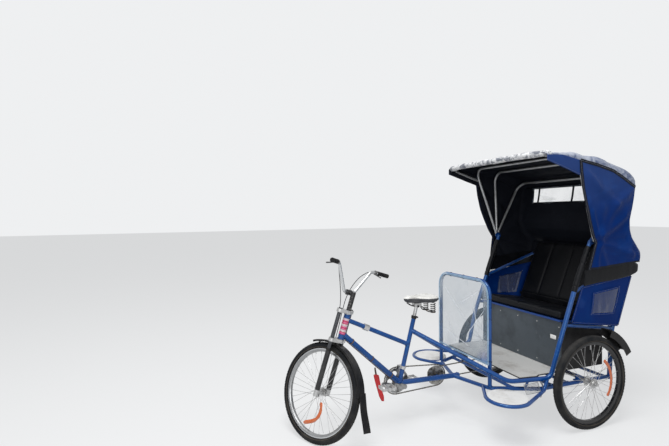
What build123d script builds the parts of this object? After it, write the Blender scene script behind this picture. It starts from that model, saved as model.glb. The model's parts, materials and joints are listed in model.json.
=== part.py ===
"""Cycle rickshaw: a three-wheeled pedal cab with a hooded bench for passengers behind the rider.

Millimetres. +Z is up, the vehicle faces -Y, and +X is its left side. The parts are laid out with y
counted from the front axle, as it is with the steering straight, and z from the ground. At the end
everything is moved along y, so that the origin is on the ground under the middle of the vehicle.
"""

from build123d import *
from math import asin, atan2, cos, hypot, pi, radians, sin, sqrt, tan
import os

# Clearances
SEAT_GAP = 0.3          # between a fixed piece and what it rests on
RUNNING_GAP = 0.05      # radial, between a shaft and its bore

# Wheels: 26 inch, with 54 mm tyres
RIM_OUTER_R = 290.0
RIM_DEPTH = 22.0
RIM_INNER_R = RIM_OUTER_R - RIM_DEPTH
RIM_WIDTH = 30.0
RIM_WALL = 3.0
WELL_DEPTH = 6.0        # between the rim's flanges, under the tyre
TYRE_SECTION_R = 27.0
TYRE_CENTRE_ABOVE_RIM = 16.5
TYRE_OUTER_R = RIM_OUTER_R + TYRE_CENTRE_ABOVE_RIM + TYRE_SECTION_R
SPOKE_COUNT = 36
SPOKE_SIZE = 2.2
SPOKE_SWING = 60.0      # degrees round the hub from flange hole to rim hole, laced three-cross
HUB_FLANGE_X = 27.0     # from the wheel's middle plane
FLANGE_THICKNESS = 4.0
FRONT_FLANGE_R = 24.0
REAR_FLANGE_R = 34.0
FRONT_HUB_R = 15.0
REAR_HUB_R = 22.0
FRONT_HUB_HALF = 33.0
REAR_HUB_HALF = 38.0
FRONT_AXLE_R = 5.0
REAR_SHAFT_R = 10.0
WHEELBASE = 1855.0
HALF_TRACK = 535.0

# Steering: a raked head with the fork's offset, turned as the vehicle was left standing
HEAD_ANGLE = 72.0       # degrees from level
FORK_OFFSET = 45.0
STEER_LIMIT = 61.0      # degrees, each way from straight
REST_STEER = -STEER_LIMIT   # left standing on the right-hand stop
FENDER_GAP = 18.5       # between the tyre and the top of the front mudguard
FENDER_R = TYRE_OUTER_R + FENDER_GAP
LOWER_CROWN_UP = FENDER_R + 10.0    # along the steering axis, from the foot of the hub's offset
CROWN_THICKNESS = 24.0
HEAD_TUBE_LENGTH = 165.0
HEADSET_HEIGHT = 8.0
HEAD_TUBE_R = 22.0
STEERER_R = 14.0
STANCHION_R = 14.0
SLIDER_R = 18.0
LEG_X = 62.0
LEG_FORWARD = 26.0
SLIDER_FOOT = 18.0      # below the foot of the hub's offset
SLIDER_TOP_UP = 300.0
DROPOUT_THICKNESS = 7.0
FENDER_WIDTH = 64.0
FENDER_THICKNESS = 2.0
FLAP_BOTTOM_Z = 195.0
FLAP_THICKNESS = 2.0
STEM_UP = 118.0         # from the top crown to the handlebar's clamp
STEM_FORWARD = 42.0
BAR_R = 11.1
BAR_RISE = 185.0
BAR_CLAMP_X = 55.0
BAR_BEND_X = 195.0
BAR_END_X = 335.0
BAR_END_BACK = 55.0
GRIP_R = 16.0
GRIP_LENGTH = 98.0
CABLE_R = 2.5
CABLE_STOP_R = 5.0

# Front frame tubes
BB_Y, BB_Z = 618.0, 315.0
BB_SHELL_R = 24.0
BB_SHELL_HALF = 34.0
SPINDLE_R = 10.0
HEADSET_CUP = 4.0       # of the headset's height, the cup pressed into the head tube
TUBE_R = 19.0           # down tube and boom
SLIM_TUBE_R = 16.0      # top tube, seat tube and the cab's main rails
SEAT_TUBE_TOP_Y, SEAT_TUBE_TOP_Z = 745.0, 795.0
SEAT_POST_R = 12.5
SADDLE_TOP_Z = 950.0
SADDLE_NOSE_Y, SADDLE_REAR_Y = 660.0, 930.0
SADDLE_REAR_R, SADDLE_NOSE_R = 98.0, 30.0
SADDLE_THICKNESS = 62.0
TOP_TUBE_SEAT_Z = 590.0     # where the top tube meets the seat tube
BOOM_END_Y = 1128.0
TUBE_CLAMP_Y = 356.0

# Lower frame and drive
LOWER_RAIL_R = 14.0
CROSS_TUBE_R = 12.0
LOWER_RAIL_Z = 303.0
HOOP_X, HOOP_Y = 300.0, 1176.0
LOWER_RAIL_X = 440.0
LOWER_RAIL_OUT_Y = 1500.0
LOWER_RAIL_START_Y = 1080.0
CHAIN_HEIGHT = 8.0
CHAIN_PITCH = 12.7
CHAIN_SIDES = 24        # straight runs in a full turn of a chain
TOOTH_HEIGHT = 5.0
CHAIN_WIDTH = 7.0
RING_PITCH_R = 100.0
JACK_RING_PITCH_R = 80.0
JACK_SMALL_PITCH_R = 45.0
AXLE_RING_PITCH_R = 50.0
CHAIN_GAP = 0.6         # between a sprocket and the chain that it carries
FRONT_CHAIN_X = -45.0
REAR_CHAIN_X = -85.0
JACK_Y, JACK_Z = 955.0, 310.0
JACK_PIN_R = 8.0
SPROCKET_THICKNESS = 3.0
CRANK_LENGTH = 172.0
CRANK_REST = 13.0       # degrees that the left arm points above level, forward
CRANK_ARM_X = 78.0
PEDAL_X = 138.0
PEDAL_PIN_R = 6.0
PEDAL_LENGTH, PEDAL_WIDTH, PEDAL_HEIGHT = 96.0, 84.0, 24.0
PEDAL_WALL = 3.0
PEDAL_BARREL_R = 10.5
PEDAL_TEETH = 10
PEDAL_TOOTH = 2.5
CRANK_BOSS_R, CRANK_END_R, CRANK_THICKNESS = 17.0, 13.0, 12.0
GUIDE_Z = 424.0             # of the chain guide's band on the seat tube
GUIDE_BAND_WIDTH, GUIDE_BAND_WALL = 22.0, 4.0
GUIDE_LENGTH, GUIDE_HEIGHT, GUIDE_PLATE = 64.0, 28.0, 1.5
GUIDE_CLEAR = 6.0           # beside the chainring, which turns between the guide's plates
INNER_BEARING_X = 130.0

# Passenger cab
MAIN_RAIL_Z = 375.0
FLOOR_FRONT_Y = 1330.0
FLOOR_FRONT_X = 420.0
FLOOR_WIDE_X, FLOOR_WIDE_Y = 440.0, 1470.0
FLOOR_NOTCH_Y = 1500.0
FLOOR_HEM = 8.0             # of the pan left showing round the bare sheet
FLOOR_THICKNESS = 4.0
FLOOR_SHEET = 1.5           # the bare metal sheet laid on the pan, under the passengers' feet
RAIL_BEND_X, RAIL_BEND_Y = 400.0, 1250.0
A_POST_X, A_POST_Y = 455.0, 1571.0
CAB_X = 470.0
KNEE_Y, KNEE_Z = 1640.0, 620.0      # where the front post turns back beside the seat
ARM_FRONT_Y, ARM_FRONT_Z = 1790.0, 1015.0
ARM_REAR_Y, ARM_REAR_Z = 2372.0, 1170.0
BACK_TOP_Y, BACK_TOP_Z = 2400.0, 1245.0
SEAT_RAIL_FRONT_Y, SEAT_RAIL_FRONT_Z = 1682.0, 742.0
SEAT_RAIL_REAR_Y, SEAT_RAIL_REAR_Z = 2150.0, 676.0
SEAT_BOX_X = 425.0
SEAT_BOX_FRONT_Y, SEAT_BOX_REAR_Y = 1702.0, 2105.0
PANEL_THICKNESS = 3.0
SEAT_BOARD = 12.0
SEAT_RAIL_R = 12.5
CUSHION_THICKNESS = 65.0
CUSHION_LENGTH = 410.0
BACK_THICKNESS = 75.0
REAR_LEG_X, REAR_LEG_Y = 446.0, 2154.0

# Guard hoop, steps and mudguards
HOOP_TOP_Z = 1056.0
HOOP_CORNER_R = 95.0
SCREEN_BOTTOM_Z = 470.0
SCREEN_THICKNESS = 1.5
STEP_X, STEP_Y, STEP_Z = 470.0, 1180.0, 300.0
STEP_TUBE_FRONT_X = 245.0
STEP_R = 130.0
STEP_THICKNESS = 8.0
STEP_WALL = 2.5
STEP_TUBE_R = 12.0
MUDGUARD_GAP = 66.5
MUDGUARD_R = TYRE_OUTER_R + MUDGUARD_GAP
MUDGUARD_THICKNESS = 3.0
MUDGUARD_WIDTH = 84.0
MUDGUARD_SKIRT = 52.0
MUDGUARD_START, MUDGUARD_END = 28.0, 66.0   # degrees above level, behind the axle

# Hood
HOOD_X = 560.0
HOOD_LOW_X, HOOD_LOW_Z = 512.0, 1150.0     # the sides draw in below the bows' bend
HOOD_WAIST_Z = 1560.0
HOOD_CLOTH = 3.0
ROOF_FRONT_Y, ROOF_FRONT_Z = 1435.0, 1952.0
ROOF_CREST_Y, ROOF_CREST_Z = 1690.0, 1963.0
ROOF_FALL_Y, ROOF_FALL_Z = 2010.0, 1921.0
ROOF_REAR_Y, ROOF_REAR_Z = 2245.0, 1826.0
BACK_SHOULDER_Y, BACK_SHOULDER_Z = 2285.0, 1770.0
VALANCE_Y, VALANCE_Z = 1735.0, 1830.0
FRONT_BOW_FOOT_Z = 1840.0
BOW_TOPS_Y = (1720.0, 1935.0, 2222.0)
FRONT_BOW_TOP_Y = 1452.0
BOW_R = 11.0
BOW_FOOT_X = 506.0
BOW_CORNER_R = 90.0
PIVOT_Y, PIVOT_Z = 1925.0, 1335.0
PIVOT_PLATE_R = 26.0
PIVOT_PLATE = 5.0
REAR_WINDOW_X = 410.0
REAR_WINDOW_LOW_Z, REAR_WINDOW_HIGH_Z = 1632.0, 1752.0

nodes = {}
SIDES = (("left", 1), ("right", -1))


def add(name, shape):
    """Keeps a finished piece under its node's name."""
    nodes[name] = shape


def tube(radius, points, bends=0.0):
    """A round bar along straight runs joined by tangent arcs."""
    if len(points) == 2:
        path = Line(*points)
    else:
        path = FilletPolyline(*points, radius=bends)
    return sweep(Plane(origin=path @ 0, z_dir=path % 0) * Circle(radius), path=path)


def bar(radius, start, end, bore=0.0):
    """A straight round bar between two points, hollow where it has a bore."""
    start, end = Vector(*start), Vector(*end)
    along = end - start
    section = Circle(radius) - Circle(bore) if bore else Circle(radius)
    return extrude(Plane(origin=start, z_dir=along) * section, along.length)


def cable(points):
    """A brake or gear cable along a route of points, each bend as wide as its two runs allow."""
    route = [Vector(*point) for point in points]
    bends = []
    for before, corner, after in zip(route, route[1:], route[2:]):
        incoming, outgoing = corner - before, after - corner
        turn = radians(incoming.get_angle(outgoing))
        bends.append(0.45 * min(incoming.length, outgoing.length) / tan(turn / 2))
    return tube(CABLE_R, points, bends)


def across(radius, x_start, x_end, y, z, bore=0.0):
    """A round bar that lies along X."""
    return bar(radius, (x_start, y, z), (x_end, y, z), bore)


def both_sides(make):
    """The left piece that make(1) gives, with its mirror image on the right."""
    left = make(1)
    return left + mirror(left, about=Plane.YZ)


def side_sheet(points, x, thickness):
    """A flat sheet parallel to the YZ plane, outlined by (y, z) points, from x outwards."""
    outline = make_face(Polyline(*[(x, y, z) for y, z in points], close=True))
    return extrude(outline, thickness, dir=(1, 0, 0))


def full_width(points, half_width):
    """A solid outlined by (y, z) points that runs across the vehicle."""
    outline = make_face(Polyline(*[(-half_width, y, z) for y, z in points], close=True))
    return extrude(outline, 2 * half_width, dir=(1, 0, 0))


# Steering axis, and the fork's length that puts the turned front tyre on the ground
HEAD_SIN, HEAD_COS = sin(radians(HEAD_ANGLE)), cos(radians(HEAD_ANGLE))
AXIS_UP = Vector(0, HEAD_COS, HEAD_SIN)
AXIS_FORWARD = Vector(0, -HEAD_SIN, HEAD_COS)
turned_lean = HEAD_COS * sin(radians(REST_STEER))
turned_drop = (TYRE_OUTER_R - TYRE_SECTION_R) * sqrt(1 - turned_lean ** 2) + TYRE_SECTION_R
foot_z = turned_drop - FORK_OFFSET * HEAD_COS * cos(radians(REST_STEER))
AXIS_FOOT = Vector(0, FORK_OFFSET * HEAD_SIN, foot_z)
FRONT_HUB = AXIS_FOOT + AXIS_FORWARD * FORK_OFFSET
STEER_AXIS = Axis(AXIS_FOOT, AXIS_UP)


def steer(x, forward, up):
    """A point of the straight steering, from the axis foot: to the left, forward and up the axis."""
    return AXIS_FOOT + Vector(x, 0, 0) + AXIS_FORWARD * forward + AXIS_UP * up


HEAD_BOTTOM_UP = LOWER_CROWN_UP + CROWN_THICKNESS + HEADSET_HEIGHT
HEAD_TOP_UP = HEAD_BOTTOM_UP + HEAD_TUBE_LENGTH
TOP_CROWN_UP = HEAD_TOP_UP + HEADSET_HEIGHT
STEM_CLAMP_UP = TOP_CROWN_UP + CROWN_THICKNESS + STEM_UP
REAR_AXLE_Y, REAR_AXLE_Z = WHEELBASE, TYRE_OUTER_R


def on_seat_tube(z):
    """The seat tube's middle at a height."""
    share = (z - BB_Z) / (SEAT_TUBE_TOP_Z - BB_Z)
    return Vector(0, BB_Y + share * (SEAT_TUBE_TOP_Y - BB_Y), z)


def coped(shape, radius, points, bends=0.0):
    """A bar's end cut to the shape of the round tube it is welded to, which runs along the points."""
    return shape - tube(radius + SEAT_GAP, points, bends)


# Wheels

def tyre():
    """An eight-sided tyre section above the rim, with a flat that sits between the rim's flanges."""
    centre_r = TYRE_OUTER_R - TYRE_SECTION_R
    shoulder = TYRE_SECTION_R * sqrt(0.5)
    bead_half = RIM_WIDTH / 2 - RIM_WALL - SEAT_GAP
    half = [(0, TYRE_OUTER_R), (shoulder, centre_r + shoulder), (TYRE_SECTION_R, centre_r),
            (bead_half, RIM_OUTER_R + SEAT_GAP)]
    outline = half + [(-x, r) for x, r in reversed(half[1:])]
    return revolve(make_face(Polyline(*outline, close=True)), Axis.X)


def rim():
    """A box-section rim with its two flanges standing round the tyre's bead."""
    half, wall = RIM_WIDTH / 2, RIM_WALL
    well_r = RIM_OUTER_R - WELL_DEPTH
    shoulder_r = RIM_INNER_R + 8.0
    outline = [
        (-half, RIM_OUTER_R), (-half, shoulder_r), (-half + 6, RIM_INNER_R),
        (half - 6, RIM_INNER_R), (half, shoulder_r), (half, RIM_OUTER_R),
        (half - wall, RIM_OUTER_R), (half - wall, well_r), (-half + wall, well_r),
        (-half + wall, RIM_OUTER_R),
    ]
    return revolve(make_face(Polyline(*outline, close=True)), Axis.X)


def spoked_hub(flange_r, shell_r, half_length, bore_r):
    """A hub shell with two flanges and its laced spokes, which end at the rim's inner face."""
    waist_r, end_r = 0.86 * shell_r, 0.85 * shell_r
    flange_in, flange_out = HUB_FLANGE_X - FLANGE_THICKNESS / 2, HUB_FLANGE_X + FLANGE_THICKNESS / 2
    half = [(half_length, end_r), (flange_out, shell_r), (flange_out, flange_r), (flange_in, flange_r),
            (flange_in, shell_r), (flange_in - 10, waist_r)]
    outline = [(half_length, 0)] + half + [(-x, r) for x, r in reversed(half)] + [(-half_length, 0)]
    hub = revolve(make_face(Polyline(*outline, close=True)), Axis.X)
    spokes_per_side = SPOKE_COUNT // 2
    pitch = 360.0 / spokes_per_side
    hole_r = flange_r - 3.0
    for side in (-1, 1):
        flange_x = side * HUB_FLANGE_X
        for number in range(spokes_per_side):
            lead = 1 if number % 2 else -1
            hub_angle = radians(number * pitch + (pitch / 2 if side > 0 else 0))
            rim_angle = hub_angle + lead * radians(SPOKE_SWING)
            rim_r = RIM_INNER_R - 0.45
            start = Vector(flange_x, hole_r * cos(hub_angle), hole_r * sin(hub_angle))
            end = Vector(side * 3.0, rim_r * cos(rim_angle), rim_r * sin(rim_angle))
            along = end - start
            section = Plane(origin=start, z_dir=along) * Rectangle(SPOKE_SIZE, SPOKE_SIZE)
            hub += extrude(section, along.length)
    return hub - across(bore_r, -half_length - 1, half_length + 1, 0, 0)


wheel_tyre = tyre()
wheel_rim = rim()
front_centre = spoked_hub(FRONT_FLANGE_R, FRONT_HUB_R, FRONT_HUB_HALF, FRONT_AXLE_R + RUNNING_GAP)
rear_centre = spoked_hub(REAR_FLANGE_R, REAR_HUB_R, REAR_HUB_HALF, REAR_SHAFT_R + SEAT_GAP)
for side_name, side in SIDES:
    place = Pos(side * HALF_TRACK, REAR_AXLE_Y, REAR_AXLE_Z)
    add(f"rear_{side_name}_tyre", place * wheel_tyre)
    add(f"rear_{side_name}_rim", place * wheel_rim)
    add(f"rear_{side_name}_spokes", place * rear_centre)
    inner_x, nut_x = side * 4.0, side * (HALF_TRACK + REAR_HUB_HALF + SEAT_GAP)
    half_shaft = across(REAR_SHAFT_R, inner_x, nut_x + side * 22, REAR_AXLE_Y, REAR_AXLE_Z)
    half_shaft += across(REAR_SHAFT_R + 5, nut_x, nut_x + side * 12, REAR_AXLE_Y, REAR_AXLE_Z)
    collar_x = side * (HALF_TRACK - REAR_HUB_HALF - SEAT_GAP)
    half_shaft += across(REAR_SHAFT_R + 4, collar_x, collar_x - side * 10, REAR_AXLE_Y, REAR_AXLE_Z)
    add(f"rear_{side_name}_shaft", half_shaft)

# Steering, built straight and turned at the end of this section
steering = {}
hub_place = Pos(*FRONT_HUB)
steering["front_tyre"] = hub_place * wheel_tyre
steering["front_rim"] = hub_place * wheel_rim
steering["front_spokes"] = hub_place * front_centre


def fork_leg(side):
    """One telescopic leg, from the top crown to its dropout at the axle."""
    leg_x = side * LEG_X
    slider_foot = steer(leg_x, LEG_FORWARD, -SLIDER_FOOT)
    leg = bar(SLIDER_R, slider_foot, steer(leg_x, LEG_FORWARD, SLIDER_TOP_UP))
    leg += bar(STANCHION_R, steer(leg_x, LEG_FORWARD, SLIDER_TOP_UP),
               steer(leg_x, LEG_FORWARD, TOP_CROWN_UP + CROWN_THICKNESS + 6))
    plate_x = side * (FRONT_HUB_HALF + 1.0 + DROPOUT_THICKNESS / 2)
    plate_plane = Plane(origin=steer(plate_x, (LEG_FORWARD + FORK_OFFSET) / 2, 0),
                        x_dir=(1, 0, 0), z_dir=AXIS_UP)
    plate = plate_plane * Box(DROPOUT_THICKNESS, 44, 46)
    bridge_plane = Plane(origin=steer(side * (LEG_X - 14), LEG_FORWARD, 10),
                         x_dir=(1, 0, 0), z_dir=AXIS_UP)
    bridge = bridge_plane * Box(28, 22, 26)
    return leg + plate + bridge


def crown(up, steerer_hole):
    """A clamp that joins both legs to the steerer."""
    outline = make_hull(
        (Pos(LEG_X, -LEG_FORWARD) * Circle(STANCHION_R + 8)).edges()
        + (Pos(-LEG_X, -LEG_FORWARD) * Circle(STANCHION_R + 8)).edges()
        + Circle(STEERER_R + 9).edges()
    )
    outline -= Pos(LEG_X, -LEG_FORWARD) * Circle(STANCHION_R + SEAT_GAP)
    outline -= Pos(-LEG_X, -LEG_FORWARD) * Circle(STANCHION_R + SEAT_GAP)
    outline -= Circle(steerer_hole)
    plane = Plane(origin=steer(0, 0, up), x_dir=(1, 0, 0), z_dir=AXIS_UP)
    return extrude(plane * outline, CROWN_THICKNESS)


fork = both_sides(fork_leg)
fork += across(FRONT_AXLE_R, -FRONT_HUB_HALF - 18, FRONT_HUB_HALF + 18, FRONT_HUB.Y, FRONT_HUB.Z)
for side in (-1, 1):
    nut_x = side * (FRONT_HUB_HALF + 1.0 + DROPOUT_THICKNESS)
    fork += across(FRONT_AXLE_R + 5, nut_x, nut_x + side * 8, FRONT_HUB.Y, FRONT_HUB.Z)
steering["fork_legs"] = fork

crowns = crown(LOWER_CROWN_UP, STEERER_R - 1) + crown(TOP_CROWN_UP, STEERER_R - 1)
crowns += bar(STEERER_R, steer(0, 0, LOWER_CROWN_UP), steer(0, 0, TOP_CROWN_UP + CROWN_THICKNESS))
crown_front = LEG_FORWARD + STANCHION_R + 8
stop_x, stop_up = 14.0, LOWER_CROWN_UP + CROWN_THICKNESS / 2
for side in (-1, 1):
    crowns += bar(CABLE_STOP_R, steer(side * stop_x, crown_front - 4, stop_up),
                  steer(side * stop_x, crown_front + 2 * CABLE_STOP_R, stop_up))
steering["fork_crowns"] = crowns


def wheel_arc(radius, width, thickness, start, end, skirt=0.0):
    """A curved guard over a wheel at the origin, from start to end in degrees behind the axle."""
    section = Pos(0, radius - thickness / 2) * Rectangle(width, thickness)
    for side in (-1, 1) if skirt else ():
        edge_x = side * (width - thickness) / 2
        section += Pos(edge_x, radius - skirt / 2) * Rectangle(thickness, skirt)
    return revolve(Rot(start, 0, 0) * section, Axis.X, revolution_arc=end - start)


fender = hub_place * wheel_arc(FENDER_R, FENDER_WIDTH, FENDER_THICKNESS, -2, 100, skirt=14.0)
fender += bar(8, steer(0, FORK_OFFSET - 15, FENDER_R - 1), steer(0, FORK_OFFSET - 15, LOWER_CROWN_UP - SEAT_GAP))
steering["front_fender"] = fender
flap_y = FRONT_HUB.Y + FENDER_R + SEAT_GAP
flap_top_z = FRONT_HUB.Z + 20
flap = Pos(0, flap_y + FLAP_THICKNESS / 2, (flap_top_z + FLAP_BOTTOM_Z) / 2)
flap = flap * Box(FENDER_WIDTH + 6, FLAP_THICKNESS, flap_top_z - FLAP_BOTTOM_Z)
steering["front_flap"] = flap

stem = bar(STEERER_R + 3, steer(0, 0, TOP_CROWN_UP + CROWN_THICKNESS + SEAT_GAP),
           steer(0, 0, STEM_CLAMP_UP + 12))
stem += bar(STEERER_R, steer(0, 0, STEM_CLAMP_UP - 8), steer(0, STEM_FORWARD, STEM_CLAMP_UP))
stem += bar(BAR_R + 8, steer(-24, STEM_FORWARD, STEM_CLAMP_UP), steer(24, STEM_FORWARD, STEM_CLAMP_UP))
stem -= bar(BAR_R + SEAT_GAP, steer(-30, STEM_FORWARD, STEM_CLAMP_UP),
            steer(30, STEM_FORWARD, STEM_CLAMP_UP))
steering["stem"] = stem

bar_top_up = STEM_CLAMP_UP + BAR_RISE
bar_points = [
    steer(side * x, STEM_FORWARD - back, up)
    for side, x, back, up in (
        (1, BAR_END_X, BAR_END_BACK, bar_top_up),
        (1, BAR_BEND_X, 0, bar_top_up),
        (1, BAR_CLAMP_X, 0, STEM_CLAMP_UP),
        (-1, BAR_CLAMP_X, 0, STEM_CLAMP_UP),
        (-1, BAR_BEND_X, 0, bar_top_up),
        (-1, BAR_END_X, BAR_END_BACK, bar_top_up),
    )
]
steering["handlebar"] = tube(BAR_R, bar_points, 40.0)


def grip(side):
    """A rubber sleeve on the handlebar's end, closed at its outer end."""
    end = steer(side * BAR_END_X, STEM_FORWARD - BAR_END_BACK, bar_top_up)
    bend = steer(side * BAR_BEND_X, STEM_FORWARD, bar_top_up)
    inward = (bend - end).normalized()
    cap = end - inward * (SEAT_GAP + 4)
    sleeve = bar(GRIP_R, cap, end + inward * (GRIP_LENGTH - 4))
    return sleeve - bar(BAR_R + SEAT_GAP, end - inward * SEAT_GAP, end + inward * GRIP_LENGTH)


steering["grips"] = both_sides(grip)


def brake_lever(side):
    """A lever bracket clamped inside the grip, with its blade in front of the grip."""
    end = steer(side * BAR_END_X, STEM_FORWARD - BAR_END_BACK, bar_top_up)
    bend = steer(side * BAR_BEND_X, STEM_FORWARD, bar_top_up)
    inward = (bend - end).normalized()
    clamp_middle = bend - inward * 38
    clamp = bar(BAR_R + 5, clamp_middle - inward * 7, clamp_middle + inward * 7)
    pivot = clamp_middle + AXIS_FORWARD * 22 - AXIS_UP * 8
    clamp += bar(7, clamp_middle + AXIS_FORWARD * 12, pivot + AXIS_FORWARD * 6)
    tip = end - inward * (-8) + AXIS_FORWARD * 46 - AXIS_UP * 26
    blade = bar(4.5, pivot, tip)
    lever = clamp + blade
    return lever - bar(BAR_R + SEAT_GAP, clamp_middle - inward * 12, clamp_middle + inward * 12)


steering["brake_levers"] = both_sides(brake_lever)


def brake_cable(side):
    """A cable that loops from the lever's bracket, in front of the bar, down to its stop on the crown."""
    end = steer(side * BAR_END_X, STEM_FORWARD - BAR_END_BACK, bar_top_up)
    bend = steer(side * BAR_BEND_X, STEM_FORWARD, bar_top_up)
    lever_x = side * (bend - (bend - end).normalized() * 38).X
    forward = crown_front + CABLE_STOP_R
    # columns: distance to the side, forward of the steering axis, up along it
    route = ((lever_x - 7.4, STEM_FORWARD + 8, bar_top_up - 8), (lever_x - 50, STEM_FORWARD + 16, bar_top_up - 10),
             (lever_x - 105, STEM_FORWARD + 36, bar_top_up - 59), (70, STEM_FORWARD + 42, STEM_CLAMP_UP + 46),
             (28, STEM_FORWARD + 34, STEM_CLAMP_UP - 49), (stop_x, STEM_FORWARD + 20, TOP_CROWN_UP - 7),
             (stop_x, forward + 2, (TOP_CROWN_UP + stop_up) / 2 - 12),
             (stop_x, forward, stop_up + CABLE_STOP_R + SEAT_GAP))
    return cable([steer(side * x, ahead, up) for x, ahead, up in route])


steering["brake_cables"] = both_sides(brake_cable)
for name, shape in steering.items():
    add(name, shape.rotate(STEER_AXIS, REST_STEER))

# Front frame: head tube, top tube, down tube, seat tube, bottom bracket shell and boom
bracket = Vector(0, BB_Y, BB_Z)
seat_tube_top = Vector(0, SEAT_TUBE_TOP_Y, SEAT_TUBE_TOP_Z)
seat_tube_along = (seat_tube_top - bracket).normalized()
front_frame = bar(HEAD_TUBE_R, steer(0, 0, HEAD_BOTTOM_UP), steer(0, 0, HEAD_TOP_UP))
for cup_foot in (HEAD_BOTTOM_UP - HEADSET_CUP, HEAD_TOP_UP):
    front_frame += bar(HEAD_TUBE_R + 2.5, steer(0, 0, cup_foot), steer(0, 0, cup_foot + HEADSET_CUP))
front_frame += bar(SLIM_TUBE_R, steer(0, 0, HEAD_TOP_UP - 32), on_seat_tube(TOP_TUBE_SEAT_Z))
front_frame += bar(TUBE_R, steer(0, 0, HEAD_BOTTOM_UP + 34), bracket)
front_frame += bar(SLIM_TUBE_R, bracket, seat_tube_top)
front_frame += across(BB_SHELL_R, -BB_SHELL_HALF, BB_SHELL_HALF, BB_Y, BB_Z)
front_frame += bar(TUBE_R, bracket, (0, BOOM_END_Y, LOWER_RAIL_Z))
front_frame += across(JACK_PIN_R, 0, REAR_CHAIN_X - 14, JACK_Y, JACK_Z)
front_frame -= bar(STEERER_R + RUNNING_GAP, steer(0, 0, HEAD_BOTTOM_UP - 5), steer(0, 0, HEAD_TOP_UP + 5))
front_frame -= across(SPINDLE_R + RUNNING_GAP, -BB_SHELL_HALF - 5, BB_SHELL_HALF + 5, BB_Y, BB_Z)
seat_post_foot = seat_tube_top - seat_tube_along * 120
front_frame -= bar(SEAT_POST_R + SEAT_GAP, seat_post_foot, seat_tube_top + seat_tube_along * 5)
add("front_frame", front_frame)

saddle_low_z = SADDLE_TOP_Z - SADDLE_THICKNESS
post_clamp = 26.0
post_top_z = saddle_low_z - SEAT_GAP - post_clamp / 2
post_top = seat_tube_top + seat_tube_along * ((post_top_z - SEAT_TUBE_TOP_Z) / seat_tube_along.Z)
seat_post = bar(SEAT_POST_R, seat_post_foot + seat_tube_along * SEAT_GAP, post_top)
seat_post += Pos(0, post_top.Y, post_top_z) * Box(44, 56, post_clamp)
add("seat_post", seat_post)

saddle_plan = make_hull(
    (Pos(0, SADDLE_REAR_Y - SADDLE_REAR_R) * Circle(SADDLE_REAR_R)).edges()
    + (Pos(0, SADDLE_NOSE_Y + SADDLE_NOSE_R) * Circle(SADDLE_NOSE_R)).edges()
)
saddle = extrude(Pos(0, 0, saddle_low_z) * saddle_plan, SADDLE_THICKNESS)
saddle = fillet(saddle.faces().sort_by(Axis.Z)[-1].edges(), 22)
add("saddle", saddle)

top_tube_start, top_tube_end = steer(0, 0, HEAD_TOP_UP - 32), on_seat_tube(TOP_TUBE_SEAT_Z)
top_tube_along = (top_tube_end - top_tube_start).normalized()
clamp_middle = top_tube_start + top_tube_along * ((TUBE_CLAMP_Y - top_tube_start.Y) / top_tube_along.Y)
tube_clamp = bar(SLIM_TUBE_R + 7, clamp_middle - top_tube_along * 20, clamp_middle + top_tube_along * 20,
                 bore=SLIM_TUBE_R + SEAT_GAP)
add("tube_clamp", tube_clamp)

# Chain guide: a band on the seat tube, with a cage of two plates round the chain's upper run
guide_middle = on_seat_tube(GUIDE_Z)
band_end = seat_tube_along * GUIDE_BAND_WIDTH / 2
chain_guide = bar(SLIM_TUBE_R + GUIDE_BAND_WALL, guide_middle - band_end, guide_middle + band_end)
guide_inner_x = FRONT_CHAIN_X + SPROCKET_THICKNESS / 2 + GUIDE_CLEAR
guide_outer_x = FRONT_CHAIN_X - SPROCKET_THICKNESS / 2 - GUIDE_CLEAR
guide_top_z = BB_Z + RING_PITCH_R + 13
chain_guide += across(5, 0, guide_inner_x, guide_middle.Y, guide_top_z - 7)
chain_guide -= bar(SLIM_TUBE_R + SEAT_GAP, guide_middle - band_end * 2, guide_middle + band_end * 2)
cage_middle = Pos((guide_inner_x + guide_outer_x) / 2, guide_middle.Y + 14, guide_top_z - GUIDE_HEIGHT / 2)
cage_width = guide_inner_x - guide_outer_x
cage = cage_middle * Box(cage_width + 2 * GUIDE_PLATE, GUIDE_LENGTH, GUIDE_HEIGHT)
cage -= cage_middle * Pos(0, 0, -GUIDE_PLATE) * Box(cage_width, GUIDE_LENGTH + 2, GUIDE_HEIGHT)
add("chain_guide", chain_guide + cage)

# Gear cable: clipped under the down tube
down_start, down_end = steer(0, 0, HEAD_BOTTOM_UP + 34), bracket
down_along = (down_end - down_start).normalized()
under_tube = Vector(0, down_along.Z, -down_along.Y) * (TUBE_R + SEAT_GAP + CABLE_R)
down_length = (down_end - down_start).length
frame_cable = bar(CABLE_R, down_start + down_along * 48 + under_tube, down_end - down_along * 36 + under_tube)
for share in (0.16, 0.5, 0.84):
    clip = down_start + down_along * down_length * share
    frame_cable += bar(TUBE_R + 2.2, clip - down_along * 4, clip + down_along * 4, bore=TUBE_R + SEAT_GAP)
add("frame_cable", frame_cable)

# Drive: cranks, front chain, jackshaft, rear chain and the differential on the rear axle

def sprocket(pitch_r, x, y, z):
    """A toothed sprocket that stays just inside the chain which runs over it."""
    tip_r = pitch_r - CHAIN_HEIGHT / 2 - CHAIN_GAP
    root_r = tip_r - TOOTH_HEIGHT
    teeth = round(2 * pi * pitch_r / CHAIN_PITCH)
    outline = []
    for tooth in range(teeth):
        for share, radius in ((0.0, root_r), (0.32, root_r), (0.56, tip_r), (0.76, tip_r)):
            angle = 2 * pi * (tooth + share) / teeth
            outline.append((x - SPROCKET_THICKNESS / 2, y + radius * cos(angle), z + radius * sin(angle)))
    return extrude(make_face(Polyline(*outline, close=True)), SPROCKET_THICKNESS, dir=(1, 0, 0))


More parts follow.
